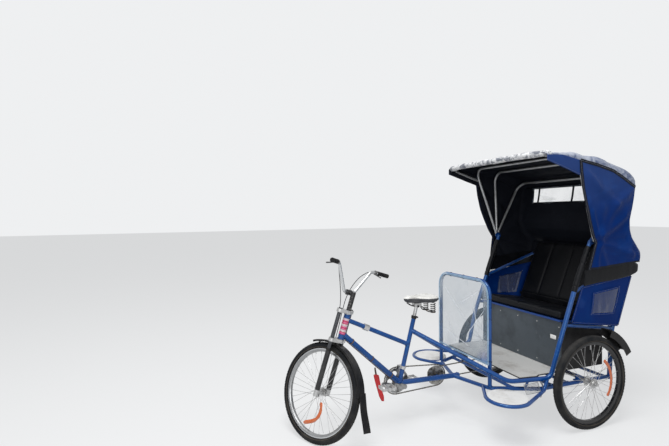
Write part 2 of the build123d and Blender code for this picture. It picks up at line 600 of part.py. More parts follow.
def chain(x, wheels):
    """A closed chain round two sprockets, each given as (pitch radius, y, z)."""
    plane = Plane(origin=(x - CHAIN_WIDTH / 2, 0, 0), x_dir=(0, 1, 0), z_dir=(1, 0, 0))
    outer, inner = [
        make_hull([edge for pitch_r, y, z in wheels for edge in (
            Pos(y, z) * RegularPolygon(pitch_r + offset, CHAIN_SIDES, major_radius=offset > 0)).edges()])
        for offset in (CHAIN_HEIGHT / 2, -CHAIN_HEIGHT / 2)
    ]
    return extrude(plane * (outer - inner), CHAIN_WIDTH)


def pedal_pin(side):
    """Where a pedal's pin is, in (y, z)."""
    angle = radians(CRANK_REST if side > 0 else CRANK_REST + 180)
    return BB_Y - CRANK_LENGTH * cos(angle), BB_Z + CRANK_LENGTH * sin(angle)


def crank_arm(side):
    """One tapered crank arm, from the spindle to the pedal's pin."""
    pin_y, pin_z = pedal_pin(side)
    plane = Plane(origin=(side * CRANK_ARM_X - CRANK_THICKNESS / 2, 0, 0), x_dir=(0, 1, 0), z_dir=(1, 0, 0))
    outline = make_hull((Pos(BB_Y, BB_Z) * Circle(CRANK_BOSS_R)).edges()
                        + (Pos(pin_y, pin_z) * Circle(CRANK_END_R)).edges())
    pin_end = side * (PEDAL_X + PEDAL_WIDTH / 2 - 6)
    return extrude(plane * outline, CRANK_THICKNESS) + across(PEDAL_PIN_R, side * CRANK_ARM_X, pin_end,
                                                              pin_y, pin_z)


def pedal(side):
    """A cage pedal: a barrel on the pin, and a frame of plates with toothed edges front and rear."""
    pin_y, pin_z = pedal_pin(side)
    half_width, half_length, half_height = PEDAL_WIDTH / 2, PEDAL_LENGTH / 2, PEDAL_HEIGHT / 2
    toothed = []
    for edge in (1, -1):
        for tooth in range(PEDAL_TEETH):
            for share, drop in ((0.15, PEDAL_TOOTH), (0.5, 0.0), (0.85, PEDAL_TOOTH)):
                x = edge * PEDAL_WIDTH * ((tooth + share) / PEDAL_TEETH - 0.5)
                toothed.append((x, edge * (half_height - drop)))
    plate_plane = Plane(origin=(side * PEDAL_X, 0, pin_z), x_dir=(1, 0, 0), z_dir=(0, -1, 0))
    plate = extrude(plate_plane * make_face(Polyline(*toothed, close=True)), PEDAL_WALL)
    body = across(PEDAL_BARREL_R, side * PEDAL_X - half_width + 1, side * PEDAL_X + half_width - 1, pin_y, pin_z)
    for end in (-1, 1):
        body += Pos(0, pin_y + end * (half_length - PEDAL_WALL / 2) + PEDAL_WALL / 2, 0) * plate
        wall_x = side * PEDAL_X + end * (half_width - PEDAL_TOOTH - PEDAL_WALL)
        body += Pos(wall_x, pin_y, pin_z) * Box(PEDAL_WALL, PEDAL_LENGTH - PEDAL_WALL, PEDAL_HEIGHT - 2 * PEDAL_TOOTH - 2)
    return body - across(PEDAL_PIN_R + RUNNING_GAP, side * (PEDAL_X - PEDAL_WIDTH),
                         side * (PEDAL_X + half_width - 6 + 1), pin_y, pin_z)


crankset = across(SPINDLE_R, -CRANK_ARM_X, CRANK_ARM_X, BB_Y, BB_Z) + crank_arm(1) + crank_arm(-1)
ring = sprocket(RING_PITCH_R, FRONT_CHAIN_X, BB_Y, BB_Z)
for number in range(5):
    window_angle = radians(36 + 72 * number)
    ring -= across(20, FRONT_CHAIN_X - 5, FRONT_CHAIN_X + 5, BB_Y + 56 * cos(window_angle),
                   BB_Z + 56 * sin(window_angle))
crankset += ring + across(20, FRONT_CHAIN_X - 8, -BB_SHELL_HALF - 1, BB_Y, BB_Z)
add("crankset", crankset)
for side_name, side in SIDES:
    add(f"{side_name}_pedal", pedal(side))
add("front_chain", chain(FRONT_CHAIN_X, ((RING_PITCH_R, BB_Y, BB_Z), (JACK_RING_PITCH_R, JACK_Y, JACK_Z))))

jack = sprocket(JACK_RING_PITCH_R, FRONT_CHAIN_X, JACK_Y, JACK_Z)
for step_number in range(3):
    jack += sprocket(JACK_RING_PITCH_R - 9 * (step_number + 1), FRONT_CHAIN_X - 7 * (step_number + 1),
                     JACK_Y, JACK_Z)
jack += sprocket(JACK_SMALL_PITCH_R, REAR_CHAIN_X, JACK_Y, JACK_Z)
jack += across(18, FRONT_CHAIN_X + 12, REAR_CHAIN_X - 6, JACK_Y, JACK_Z)
jack -= across(JACK_PIN_R + RUNNING_GAP, 0, REAR_CHAIN_X - 20, JACK_Y, JACK_Z)
add("jackshaft", jack)
add("rear_chain", chain(REAR_CHAIN_X, ((JACK_SMALL_PITCH_R, JACK_Y, JACK_Z),
                                       (AXLE_RING_PITCH_R, REAR_AXLE_Y, REAR_AXLE_Z))))

differential = across(36, -62, 62, REAR_AXLE_Y, REAR_AXLE_Z)
differential += across(22, REAR_CHAIN_X - 10, INNER_BEARING_X - 20, REAR_AXLE_Y, REAR_AXLE_Z)
differential += sprocket(AXLE_RING_PITCH_R, REAR_CHAIN_X, REAR_AXLE_Y, REAR_AXLE_Z)
differential -= across(REAR_SHAFT_R + RUNNING_GAP, -200, 200, REAR_AXLE_Y, REAR_AXLE_Z)
add("differential", differential)

# Lower frame: rails from the boom's end to behind the axle, with cross tubes and posts
rail_start, rail_turn = (0, LOWER_RAIL_START_Y, LOWER_RAIL_Z), (HOOP_X, HOOP_Y, LOWER_RAIL_Z)
rail_end_y = REAR_LEG_Y - SLIM_TUBE_R - SEAT_GAP
lower_frame = both_sides(lambda side: coped(
    tube(LOWER_RAIL_R, [rail_start, rail_turn, (LOWER_RAIL_X, LOWER_RAIL_OUT_Y, LOWER_RAIL_Z),
                        (LOWER_RAIL_X, rail_end_y, LOWER_RAIL_Z)], (70, 120)),
    TUBE_R, [bracket, (0, BOOM_END_Y + 1, LOWER_RAIL_Z)]))
for cross_y, reach in ((1330, 370), (1620, LOWER_RAIL_X), (1762, LOWER_RAIL_X), (1948, LOWER_RAIL_X),
                       (rail_end_y - CROSS_TUBE_R - 2, LOWER_RAIL_X)):
    lower_frame += across(CROSS_TUBE_R, -reach, reach, cross_y, LOWER_RAIL_Z)
post_y = 1400
post_foot_x = HOOP_X + (LOWER_RAIL_X - HOOP_X) * (post_y - HOOP_Y) / (LOWER_RAIL_OUT_Y - HOOP_Y)
post_head_x = RAIL_BEND_X + (A_POST_X - RAIL_BEND_X) * (post_y - RAIL_BEND_Y) / (A_POST_Y - RAIL_BEND_Y)
lower_frame += both_sides(lambda side: coped(
    bar(9, (post_foot_x, post_y, LOWER_RAIL_Z), (post_head_x, post_y, MAIN_RAIL_Z)),
    SLIM_TUBE_R, [(RAIL_BEND_X, RAIL_BEND_Y, MAIN_RAIL_Z), (A_POST_X, A_POST_Y, MAIN_RAIL_Z)]))
add("lower_frame", lower_frame)

# Bearing blocks for the rear shafts, standing on the rails and on two cross tubes
rail_top_z = LOWER_RAIL_Z + LOWER_RAIL_R + SEAT_GAP


def bearing_block(side):
    """A pillow block on the lower rail, and a plate on the cross tubes beside the differential."""
    half_width, foot_height = 13, 9
    block = across(REAR_SHAFT_R + 12, side * LOWER_RAIL_X - half_width, side * LOWER_RAIL_X + half_width,
                   REAR_AXLE_Y, REAR_AXLE_Z)
    block -= Pos(side * LOWER_RAIL_X, REAR_AXLE_Y, rail_top_z - 50) * Box(100, 100, 100)
    block += Pos(side * LOWER_RAIL_X, REAR_AXLE_Y, rail_top_z + foot_height / 2) * Box(
        2 * half_width, 84, foot_height)
    plate_low = LOWER_RAIL_Z + CROSS_TUBE_R + SEAT_GAP
    plate_height = REAR_AXLE_Z + 24 - plate_low
    block += Pos(side * INNER_BEARING_X, REAR_AXLE_Y, plate_low + plate_height / 2) * Box(14, 200, plate_height)
    return block


bearings = both_sides(bearing_block)
bearings -= across(REAR_SHAFT_R + RUNNING_GAP, -600, 600, REAR_AXLE_Y, REAR_AXLE_Z)
add("axle_bearings", bearings)

# Main rails: one bent tube each side, from the seat tube down beside the floor and up as the front post
post_line = ((A_POST_X, A_POST_Y, MAIN_RAIL_Z), (CAB_X, KNEE_Y, KNEE_Z), (CAB_X, ARM_FRONT_Y, ARM_FRONT_Z))
main_rails = both_sides(lambda side: coped(
    tube(SLIM_TUBE_R, [on_seat_tube(SEAT_TUBE_TOP_Z - 105), (RAIL_BEND_X, RAIL_BEND_Y, MAIN_RAIL_Z), *post_line],
         (140, 60, 200)),
    SLIM_TUBE_R, [bracket, seat_tube_top]))
add("main_rails", main_rails)

# Rear hoop of the cab: both rear posts and the bar behind the passengers' shoulders
seat_rear = (CAB_X, SEAT_RAIL_REAR_Y, SEAT_RAIL_REAR_Z)
rear_post = [(REAR_LEG_X, REAR_LEG_Y, LOWER_RAIL_Z - LOWER_RAIL_R), seat_rear, (CAB_X, BACK_TOP_Y, BACK_TOP_Z)]
other_post = [(-x, y, z) for x, y, z in reversed(rear_post)]
add("rear_hoop", tube(SLIM_TUBE_R, rear_post + other_post, (120, 80, 80, 120)))

# Floor pan on the main rails
floor_z = MAIN_RAIL_Z + SLIM_TUBE_R + SEAT_GAP
floor_rear_y = SEAT_BOX_FRONT_Y + PANEL_THICKNESS + 6
floor_plan = make_face(Polyline(
    (-FLOOR_FRONT_X, FLOOR_FRONT_Y), (FLOOR_FRONT_X, FLOOR_FRONT_Y), (FLOOR_WIDE_X, FLOOR_WIDE_Y),
    (SEAT_BOX_X, FLOOR_NOTCH_Y), (SEAT_BOX_X, floor_rear_y), (-SEAT_BOX_X, floor_rear_y),
    (-SEAT_BOX_X, FLOOR_NOTCH_Y), (-FLOOR_WIDE_X, FLOOR_WIDE_Y), close=True))
add("floor_pan", extrude(Pos(0, 0, floor_z) * floor_plan, FLOOR_THICKNESS))
sheet_rear_y = SEAT_BOX_FRONT_Y - SEAT_GAP
sheet_plan = offset(floor_plan, -FLOOR_HEM, kind=Kind.INTERSECTION)
sheet_plan &= Pos(0, sheet_rear_y - WHEELBASE / 2) * Rectangle(4 * CAB_X, WHEELBASE)
add("floor_sheet", extrude(Pos(0, 0, floor_z + FLOOR_THICKNESS + SEAT_GAP) * sheet_plan, FLOOR_SHEET))

# Seat: rails and cross bars that slope back, the box under them, the board, cushion and back
seat_fall = atan2(SEAT_RAIL_FRONT_Z - SEAT_RAIL_REAR_Z, SEAT_RAIL_REAR_Y - SEAT_RAIL_FRONT_Y)


def seat_z(y, above=0.0):
    """The height of the sloping seat rails' middle line at y, or of a plane above it."""
    return SEAT_RAIL_REAR_Z + (SEAT_RAIL_REAR_Y - y) * tan(seat_fall) + above / cos(seat_fall)


post_share = (seat_z(SEAT_RAIL_FRONT_Y) - KNEE_Z) / (ARM_FRONT_Z - KNEE_Z)
seat_front = (CAB_X, KNEE_Y + post_share * (ARM_FRONT_Y - KNEE_Y), SEAT_RAIL_FRONT_Z)
arm_share = (ARM_REAR_Z - SEAT_RAIL_REAR_Z) / (BACK_TOP_Z - SEAT_RAIL_REAR_Z)
arm_rear = (CAB_X, SEAT_RAIL_REAR_Y + arm_share * (BACK_TOP_Y - SEAT_RAIL_REAR_Y), ARM_REAR_Z)
arm_front = (CAB_X, ARM_FRONT_Y - 15, ARM_FRONT_Z - 40)


def side_rail(side):
    """The seat rail and the arm rail, both coped to the front post and the rear post."""
    rails = bar(SEAT_RAIL_R, seat_front, seat_rear) + bar(SEAT_RAIL_R, arm_front, arm_rear)
    return coped(coped(rails, SLIM_TUBE_R, post_line, 200), SLIM_TUBE_R, rear_post, 120)


side_rails = both_sides(side_rail)
for cross_y in (SEAT_BOX_FRONT_Y + 30, SEAT_BOX_REAR_Y - 25):
    side_rails += across(SEAT_RAIL_R - 1, -CAB_X, CAB_X, cross_y, seat_z(cross_y))
add("side_rails", side_rails)

box_low_z = floor_z + FLOOR_THICKNESS + SEAT_GAP
box_front_y, box_inner_y = SEAT_BOX_FRONT_Y, SEAT_BOX_FRONT_Y + PANEL_THICKNESS
under_rail = -SEAT_RAIL_R - SEAT_GAP
front_panel = full_width([(box_front_y, box_low_z), (box_inner_y, box_low_z),
                          (box_inner_y, seat_z(box_inner_y, SEAT_RAIL_R)),
                          (box_front_y, seat_z(box_inner_y, SEAT_RAIL_R))], SEAT_BOX_X)
add("seat_front_panel", front_panel)
side_y = box_inner_y + SEAT_GAP
seat_sides = both_sides(lambda side: side_sheet(
    [(side_y, box_low_z), (SEAT_BOX_REAR_Y, box_low_z), (SEAT_BOX_REAR_Y, seat_z(SEAT_BOX_REAR_Y, under_rail)),
     (side_y, seat_z(side_y, under_rail))], SEAT_BOX_X - PANEL_THICKNESS, PANEL_THICKNESS))
seat_sides += full_width([(SEAT_BOX_REAR_Y, box_low_z), (SEAT_BOX_REAR_Y + PANEL_THICKNESS, box_low_z),
                          (SEAT_BOX_REAR_Y + PANEL_THICKNESS, seat_z(SEAT_BOX_REAR_Y + 4, under_rail)),
                          (SEAT_BOX_REAR_Y, seat_z(SEAT_BOX_REAR_Y + 4, under_rail))], SEAT_BOX_X)
add("seat_box_sides", seat_sides)


def on_seat(length, above, thickness, rear_y):
    """A slab on the sloping seat, its underside above the rails' middle line, ending at rear_y."""
    plane = Plane(origin=(0, rear_y, seat_z(rear_y, above)), x_dir=(1, 0, 0),
                  z_dir=(0, sin(seat_fall), cos(seat_fall)))
    return plane * Pos(0, -length / 2, thickness / 2) * Box(2 * SEAT_BOX_X, length, thickness)


board_length = (SEAT_BOX_REAR_Y - SEAT_BOX_FRONT_Y) / cos(seat_fall) + 14
board_up = SEAT_RAIL_R + SEAT_GAP
add("seat_board", on_seat(board_length, board_up, SEAT_BOARD, SEAT_BOX_REAR_Y))
cushion = on_seat(CUSHION_LENGTH, board_up + SEAT_BOARD + SEAT_GAP, CUSHION_THICKNESS, SEAT_BOX_REAR_Y - 12)
cushion = fillet(cushion.faces().sort_by(Axis.Z)[-1].edges(), 25)
add("seat_cushion", cushion)
back_rise = Vector(0, BACK_TOP_Y - SEAT_RAIL_REAR_Y, BACK_TOP_Z - SEAT_RAIL_REAR_Z)
back_plane = Plane(origin=(0, SEAT_RAIL_REAR_Y, SEAT_RAIL_REAR_Z), x_dir=(1, 0, 0), z_dir=back_rise)
back_middle = SLIM_TUBE_R + SEAT_GAP + BACK_THICKNESS / 2
back_low, back_high = 112.0, back_rise.length + 6
seat_back = back_plane * Pos(0, -back_middle, (back_low + back_high) / 2) * Box(
    2 * SEAT_BOX_X, BACK_THICKNESS, back_high - back_low)
add("seat_back", seat_back)

# Guard hoop in front of the passengers' knees, with its clear screen
hoop_low_z = LOWER_RAIL_Z + LOWER_RAIL_R + SEAT_GAP
guard_hoop = tube(LOWER_RAIL_R, [(HOOP_X, HOOP_Y, hoop_low_z), (HOOP_X, HOOP_Y, HOOP_TOP_Z),
                                 (-HOOP_X, HOOP_Y, HOOP_TOP_Z), (-HOOP_X, HOOP_Y, hoop_low_z)], HOOP_CORNER_R)
add("guard_hoop", guard_hoop)
screen_back_y = HOOP_Y - LOWER_RAIL_R - SEAT_GAP
screen = Pos(0, screen_back_y - SCREEN_THICKNESS / 2, (SCREEN_BOTTOM_Z + HOOP_TOP_Z) / 2) * Box(
    2 * HOOP_X, SCREEN_THICKNESS, HOOP_TOP_Z - SCREEN_BOTTOM_Z)
screen = fillet(screen.edges().filter_by(Axis.Y).sort_by(Axis.Z)[-2:], HOOP_CORNER_R)
add("guard_screen", screen)

# Round steps beside the hoop, each with a tube bent round its rim
step_bend = STEP_R + STEP_TUBE_R + SEAT_GAP
STEP_TUBE_FRONT_Y = LOWER_RAIL_START_Y + (HOOP_Y - LOWER_RAIL_START_Y) * STEP_TUBE_FRONT_X / HOOP_X
step_outer_x = STEP_X + step_bend


def tangent_corner(x, y, turn):
    """Where the line from (x, y) that just clears the step's rim meets the rim's outermost tangent."""
    reach = hypot(STEP_X - x, STEP_Y - y)
    heading = atan2(STEP_Y - y, STEP_X - x) + turn * asin(step_bend / reach)
    return (step_outer_x, y + (step_outer_x - x) * tan(heading))


def step_tube(side):
    """A tube from the lower rail, round the front and outside of the step, and up to the main rail."""
    front_corner = tangent_corner(STEP_TUBE_FRONT_X, STEP_TUBE_FRONT_Y, -1)
    rear_corner = tangent_corner(STEP_X, LOWER_RAIL_OUT_Y, 1)
    points = [(STEP_TUBE_FRONT_X, STEP_TUBE_FRONT_Y, LOWER_RAIL_Z), (*front_corner, LOWER_RAIL_Z),
              (*rear_corner, LOWER_RAIL_Z), (STEP_X, LOWER_RAIL_OUT_Y, LOWER_RAIL_Z),
              (A_POST_X - 2, LOWER_RAIL_OUT_Y + 46, MAIN_RAIL_Z)]
    whole = tube(STEP_TUBE_R, points, (step_bend - 4, step_bend - 4, 40))
    whole = coped(whole, LOWER_RAIL_R, [rail_start, rail_turn])
    return coped(whole, SLIM_TUBE_R, [(RAIL_BEND_X, RAIL_BEND_Y, MAIN_RAIL_Z), post_line[0]])


add("step_tubes", both_sides(step_tube))
step_disc = Pos(0, 0, STEP_THICKNESS / 2) * Cylinder(STEP_R, STEP_THICKNESS)
step_disc -= Pos(0, 0, (STEP_THICKNESS - STEP_WALL) / 2 - 1) * Cylinder(STEP_R - STEP_WALL, STEP_THICKNESS - STEP_WALL + 2)
add("step_discs", both_sides(lambda side: Pos(STEP_X, STEP_Y, STEP_Z) * step_disc))

# Rear mudguards, each on a short stay from the cab's rear post
mudguard = Pos(HALF_TRACK, REAR_AXLE_Y, REAR_AXLE_Z) * wheel_arc(
    MUDGUARD_R, MUDGUARD_WIDTH, MUDGUARD_THICKNESS, MUDGUARD_START, MUDGUARD_END, skirt=MUDGUARD_SKIRT)
stay_z = REAR_AXLE_Z + sqrt((MUDGUARD_R - MUDGUARD_SKIRT / 2) ** 2 - (REAR_LEG_Y - REAR_AXLE_Y) ** 2)
stay_share = (stay_z - LOWER_RAIL_Z + LOWER_RAIL_R) / (SEAT_RAIL_REAR_Z - LOWER_RAIL_Z + LOWER_RAIL_R)
stay_x = REAR_LEG_X + stay_share * (CAB_X - REAR_LEG_X)
stay_y = REAR_LEG_Y + stay_share * (SEAT_RAIL_REAR_Y - REAR_LEG_Y)
stay = across(6, stay_x, HALF_TRACK - MUDGUARD_WIDTH / 2 + 2, stay_y, stay_z)
mudguard += coped(stay, SLIM_TUBE_R, rear_post, 120)
add("rear_mudguards", both_sides(lambda side: mudguard))

# Side panels of the cab, with a clear pocket let into each
panel_x = CAB_X + SLIM_TUBE_R + SEAT_GAP
panel_outline = [(1735, 762), (2185, 700), (2322, 1060), (1835, 1000)]
pocket_outline = [(1915, 800), (2140, 790), (2205, 985), (1940, 955)]
pocket = make_face(Polyline(*pocket_outline, close=True))
side_panel = side_sheet(panel_outline, panel_x, 2)
side_panel -= side_sheet(pocket_outline, panel_x - 1, 4)
add("side_panels", both_sides(lambda side: side_panel))
inset = offset(make_face(Polyline(*pocket_outline, close=True)), -SEAT_GAP)
pocket_plane = Plane(origin=(panel_x + 0.5, 0, 0), x_dir=(0, 1, 0), z_dir=(1, 0, 0))
add("side_pockets", both_sides(lambda side: extrude(pocket_plane * inset, 1.0)))
band_rise = ARM_REAR_Z - 1170
band_outline = [(1840, 1000), (1880, 1120), (2319, 1168 + band_rise), (2400, 1150 + band_rise),
                (2384, 1098 + band_rise), (2270, 1076 + band_rise), (1960, 1030)]
add("arm_bands", both_sides(lambda side: side_sheet(band_outline, panel_x + 2 + SEAT_GAP, 14)))

# Hood: struts, bows and cover
post_top = Vector(*post_line[2])
post_along = (post_top - Vector(*post_line[1])).normalized()
BOW_X = HOOD_X - HOOD_CLOTH - SEAT_GAP - BOW_R
plate_x = BOW_FOOT_X - BOW_R - 2 * SEAT_GAP - PIVOT_PLATE


def hood_strut(side):
    """A strut on top of the front post, with the plate and pin that the hood's bows swing on."""
    strut = tube(SLIM_TUBE_R - 2, [post_top + post_along * SEAT_GAP, post_top + post_along * 60,
                                   (plate_x - SLIM_TUBE_R + 3, PIVOT_Y, PIVOT_Z)], 90)
    return strut + across(PIVOT_PLATE_R, plate_x, plate_x + PIVOT_PLATE, PIVOT_Y, PIVOT_Z)


add("hood_struts", both_sides(hood_strut))


def bow(foot_x, foot_y, foot_z, top_y, top_z):
    """A bent tube that rises from the foot on one side, crosses under the roof and comes down."""
    return tube(BOW_R, [(foot_x, foot_y, foot_z), (BOW_X, top_y, top_z), (-BOW_X, top_y, top_z),
                        (-foot_x, foot_y, foot_z)], BOW_CORNER_R)


# The cover's side outline in (y, z), roof first
roof_line = [(ROOF_FRONT_Y, ROOF_FRONT_Z), (ROOF_CREST_Y, ROOF_CREST_Z), (ROOF_FALL_Y, ROOF_FALL_Z),
             (ROOF_REAR_Y, ROOF_REAR_Z)]


def under_roof(y):
    """The height at which a bow's crossbar carries the cover at y."""
    for (start_y, start_z), (end_y, end_z) in zip(roof_line, roof_line[1:]):
        if start_y <= y <= end_y:
            slope = (end_z - start_z) / (end_y - start_y)
            lowered = (HOOD_CLOTH + SEAT_GAP + BOW_R) * sqrt(1 + slope ** 2)
            return start_z + slope * (y - start_y) - lowered


bows = bow(BOW_X, VALANCE_Y + 13, FRONT_BOW_FOOT_Z, FRONT_BOW_TOP_Y, under_roof(FRONT_BOW_TOP_Y))
for crossbar_y in BOW_TOPS_Y:
    bows += bow(BOW_FOOT_X, PIVOT_Y, PIVOT_Z, crossbar_y, under_roof(crossbar_y))
add("hood_bows", bows)
back_line = [(BACK_SHOULDER_Y, BACK_SHOULDER_Z), (2288, 1600), (2292, 1467), (2330, 1336), (2396, HOOD_LOW_Z + 120)]
front_line = [(1905, HOOD_LOW_Z), (1925, 1300), (1835, 1430), (1760, 1627), (VALANCE_Y, VALANCE_Z),
              (ROOF_FRONT_Y, ROOF_FRONT_Z - 27)]


def drawn_in(inset):
    """The hood from the front: straight down to the waist, then drawn in towards the posts."""
    half, low_half = HOOD_X - inset, HOOD_LOW_X - inset
    high_z, low_z = ROOF_CREST_Z + 40, HOOD_LOW_Z - 60
    outline = [(half, high_z), (half, HOOD_WAIST_Z), (low_half, low_z), (-low_half, low_z),
               (-half, HOOD_WAIST_Z), (-half, high_z)]
    face = make_face(Polyline(*[(x, ROOF_FRONT_Y - 100, z) for x, z in outline], close=True))
    return extrude(face, 2 * (ROOF_REAR_Y - ROOF_FRONT_Y), dir=(0, 1, 0))


side_foot = [(2330, HOOD_LOW_Z + 52)]
cover = full_width(roof_line + back_line + side_foot + front_line, HOOD_X) & drawn_in(0)
inner_roof = [(y, z - HOOD_CLOTH) for y, z in roof_line]
inner_rear = [(y - HOOD_CLOTH, z) for y, z in back_line]
inner_front_y = ROOF_FRONT_Y - 35
inner_outline = [(inner_front_y, inner_roof[0][1])] + inner_roof[1:] + inner_rear
inner_outline += [(inner_rear[-1][0], HOOD_LOW_Z - 150), (inner_front_y, HOOD_LOW_Z - 150)]
hollow = full_width(inner_outline, HOOD_X) & drawn_in(HOOD_CLOTH)
shell = cover - hollow
window_box = Pos(0, BACK_SHOULDER_Y - 15, (REAR_WINDOW_LOW_Z + REAR_WINDOW_HIGH_Z) / 2)
window_height = REAR_WINDOW_HIGH_Z - REAR_WINDOW_LOW_Z
opening = window_box * Box(2 * REAR_WINDOW_X, 80, window_height)
pane_box = window_box * Box(2 * REAR_WINDOW_X - 2 * SEAT_GAP, 80, window_height - 2 * SEAT_GAP)
add("hood_cover", shell - opening)
add("hood_window", shell & pane_box)

# Everything is moved so that the origin is on the ground under the middle of the vehicle
everything = Compound(children=[Compound(shape.solids()) for shape in nodes.values()])
box = everything.bounding_box()
SHIFT_Y = -(box.min.Y + box.max.Y) / 2
os.makedirs("parts", exist_ok=True)
for name, shape in nodes.items():
    placed = Pos(0, SHIFT_Y, 0) * shape
    solids = placed.solids()
    placed = solids[0] if len(solids) == 1 else Compound(solids)
    nodes[name] = placed
    export_step(placed, f"parts/{name}.step")
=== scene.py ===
"""A cycle rickshaw with a folding hood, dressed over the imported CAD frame.

Metres. +Z is up, the vehicle faces -Y, and +X is its left side. Lengths along the vehicle are counted
from the front axle with the steering straight, and at() moves them into the frame.
"""

import bmesh
import bpy
import json
from math import asin, cos, exp, hypot, pi, radians, sin, sqrt
from mathutils import Matrix, Vector, noise


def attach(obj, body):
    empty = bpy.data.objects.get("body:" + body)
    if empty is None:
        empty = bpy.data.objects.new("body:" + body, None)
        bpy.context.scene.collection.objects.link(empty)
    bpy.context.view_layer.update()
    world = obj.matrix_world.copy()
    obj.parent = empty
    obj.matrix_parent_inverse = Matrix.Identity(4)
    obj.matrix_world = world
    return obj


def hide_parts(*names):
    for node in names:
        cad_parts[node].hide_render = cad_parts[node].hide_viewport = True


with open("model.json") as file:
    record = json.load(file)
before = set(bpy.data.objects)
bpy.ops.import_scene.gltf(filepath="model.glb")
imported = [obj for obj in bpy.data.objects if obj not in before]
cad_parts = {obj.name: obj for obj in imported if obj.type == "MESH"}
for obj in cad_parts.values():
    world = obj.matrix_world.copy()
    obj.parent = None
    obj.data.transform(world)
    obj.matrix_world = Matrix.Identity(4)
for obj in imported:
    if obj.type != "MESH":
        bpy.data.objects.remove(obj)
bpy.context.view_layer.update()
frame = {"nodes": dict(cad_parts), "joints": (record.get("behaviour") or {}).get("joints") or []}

# Camera, lights and floor. The camera stands to the left of the front wheel and looks across at the
# cab, as the photograph does. Two soft lamps and a pale room light it, and the floor only takes shadow.

WHEELBASE = 1.855
joints = {joint["name"]: joint for joint in frame["joints"]}
FRONT_Y = joints["rear_left_wheel_spin"]["pos_m"][1] - WHEELBASE


def at(x, y, z):
    """A point in the frame: x to the left, y behind the straight front axle, z above the ground."""
    return Vector((x, y + FRONT_Y, z))


azimuth, elevation, roll = radians(69.933), radians(1.212), radians(-0.624)
view_back = Vector((sin(azimuth) * cos(elevation), -cos(azimuth) * cos(elevation), sin(elevation)))
level_right = (-view_back).cross(Vector((0, 0, 1))).normalized()
level_up = level_right.cross(-view_back)
view_right = level_right * cos(roll) + level_up * sin(roll)
view_up = level_up * cos(roll) - level_right * sin(roll)
camera = bpy.data.objects.new("camera", bpy.data.cameras.new("camera"))
bpy.context.scene.collection.objects.link(camera)
camera.data.sensor_width = 36.0
camera.data.lens = 439.99 / 669 * 36.0
turn = Matrix((view_right, view_up, view_back)).transposed().to_4x4()
camera.matrix_world = Matrix.Translation(at(2.83, -0.906, 1.551)) @ turn
bpy.context.scene.camera = camera
bpy.context.scene.view_settings.view_transform = "Standard"


def lamp(name, place, aim, size, power):
    """A square soft lamp that faces a point."""
    made = bpy.data.objects.new(name, bpy.data.lights.new(name, "AREA"))
    bpy.context.scene.collection.objects.link(made)
    made.data.shape = "SQUARE"
    made.data.size = size
    made.data.energy = power
    made.matrix_world = Matrix.Translation(place) @ (place - aim).to_track_quat("Z", "Y").to_matrix().to_4x4()


lamp("overhead_lamp", Vector((1.6, -2.0, 6.2)), Vector((0, 0.1, 0.6)), 3.0, 330)
lamp("side_lamp", Vector((5.4, -3.2, 3.0)), Vector((0, 0.2, 0.8)), 3.2, 110)


class Signal:
    """An output socket. Arithmetic on it adds Math nodes to its graph."""

    def __init__(self, graph, socket):
        self.graph = graph
        self.socket = socket

    def math(self, operation, *others):
        return self.graph.node("ShaderNodeMath", {"operation": operation}, dict(enumerate((self, *others))))

    def __add__(self, other):
        return self.math("ADD", other)

    def __sub__(self, other):
        return self.math("SUBTRACT", other)

    def __rsub__(self, other):
        return self.graph.node("ShaderNodeMath", {"operation": "SUBTRACT"}, {0: other, 1: self})

    def __mul__(self, other):
        return self.math("MULTIPLY", other)

    def __truediv__(self, other):
        return self.math("DIVIDE", other)

    __radd__ = __add__
    __rmul__ = __mul__


class Graph:
    """The nodes of one material or of the world."""

    def __init__(self, tree):
        self.tree = tree
        tree.nodes.clear()

    def node(self, kind, settings=None, inputs=None, out=0):
        """Adds a node, sets it up, then gives its sockets their values or links."""
        made = self.tree.nodes.new(kind)
        for name, value in (settings or {}).items():
            if name == "stops":
                for element, (position, colour) in zip(made.color_ramp.elements, value):
                    element.position = position
                    element.color = (*colour, 1)
            else:
                setattr(made, name, value)
        for name, value in (inputs or {}).items():
            if isinstance(value, Signal):
                self.tree.links.new(value.socket, made.inputs[name])
            elif made.inputs[name].type == "RGBA":
                made.inputs[name].default_value = (*value[:3], 1)
            else:
                made.inputs[name].default_value = value
        return Signal(self, made.outputs[out]) if made.outputs else None

    def mix(self, amount, low, high):
        """A colour that goes from low to high as amount goes from 0 to 1."""
        return self.node("ShaderNodeMix", {"data_type": "RGBA"}, {0: amount, 6: low, 7: high}, out=2)

    def spread(self, value, low, high):
        """0 below low, 1 above high, and smooth between them."""
        return self.node("ShaderNodeMapRange", {"interpolation_type": "SMOOTHSTEP"},
                         {"Value": value, "From Min": low, "From Max": high})

    def place(self):
        """Where a point of the piece is in the frame."""
        return self.node("ShaderNodeTexCoord", out="Object")

    def moved(self, location=(0, 0, 0), rotation=(0, 0, 0), scale=(1, 1, 1)):
        """A point's place seen from a frame of its own, such as a wheel's."""
        return self.node("ShaderNodeMapping", {"vector_type": "TEXTURE"},
                         {"Vector": self.place(), "Location": location, "Rotation": rotation, "Scale": scale})

    def parts(self, vector):
        """The three numbers of a vector."""
        split = self.node("ShaderNodeSeparateXYZ", inputs={0: vector}).socket.node
        return [Signal(self, socket) for socket in split.outputs]

    def noise(self, scale, detail=3.0, roughness=0.5, vector=None, distortion=0.0):
        """Soft noise from 0 to 1, its scale in features per metre."""
        return self.node("ShaderNodeTexNoise", inputs={
            "Vector": vector or self.place(), "Scale": scale, "Detail": detail,
            "Roughness": roughness, "Distortion": distortion})

    def facing_up(self):
        """1 on level upper faces, 0 on upright ones and below."""
        normal = self.node("ShaderNodeNewGeometry", out="Normal")
        return self.spread(self.parts(normal)[2], 0.25, 0.95)


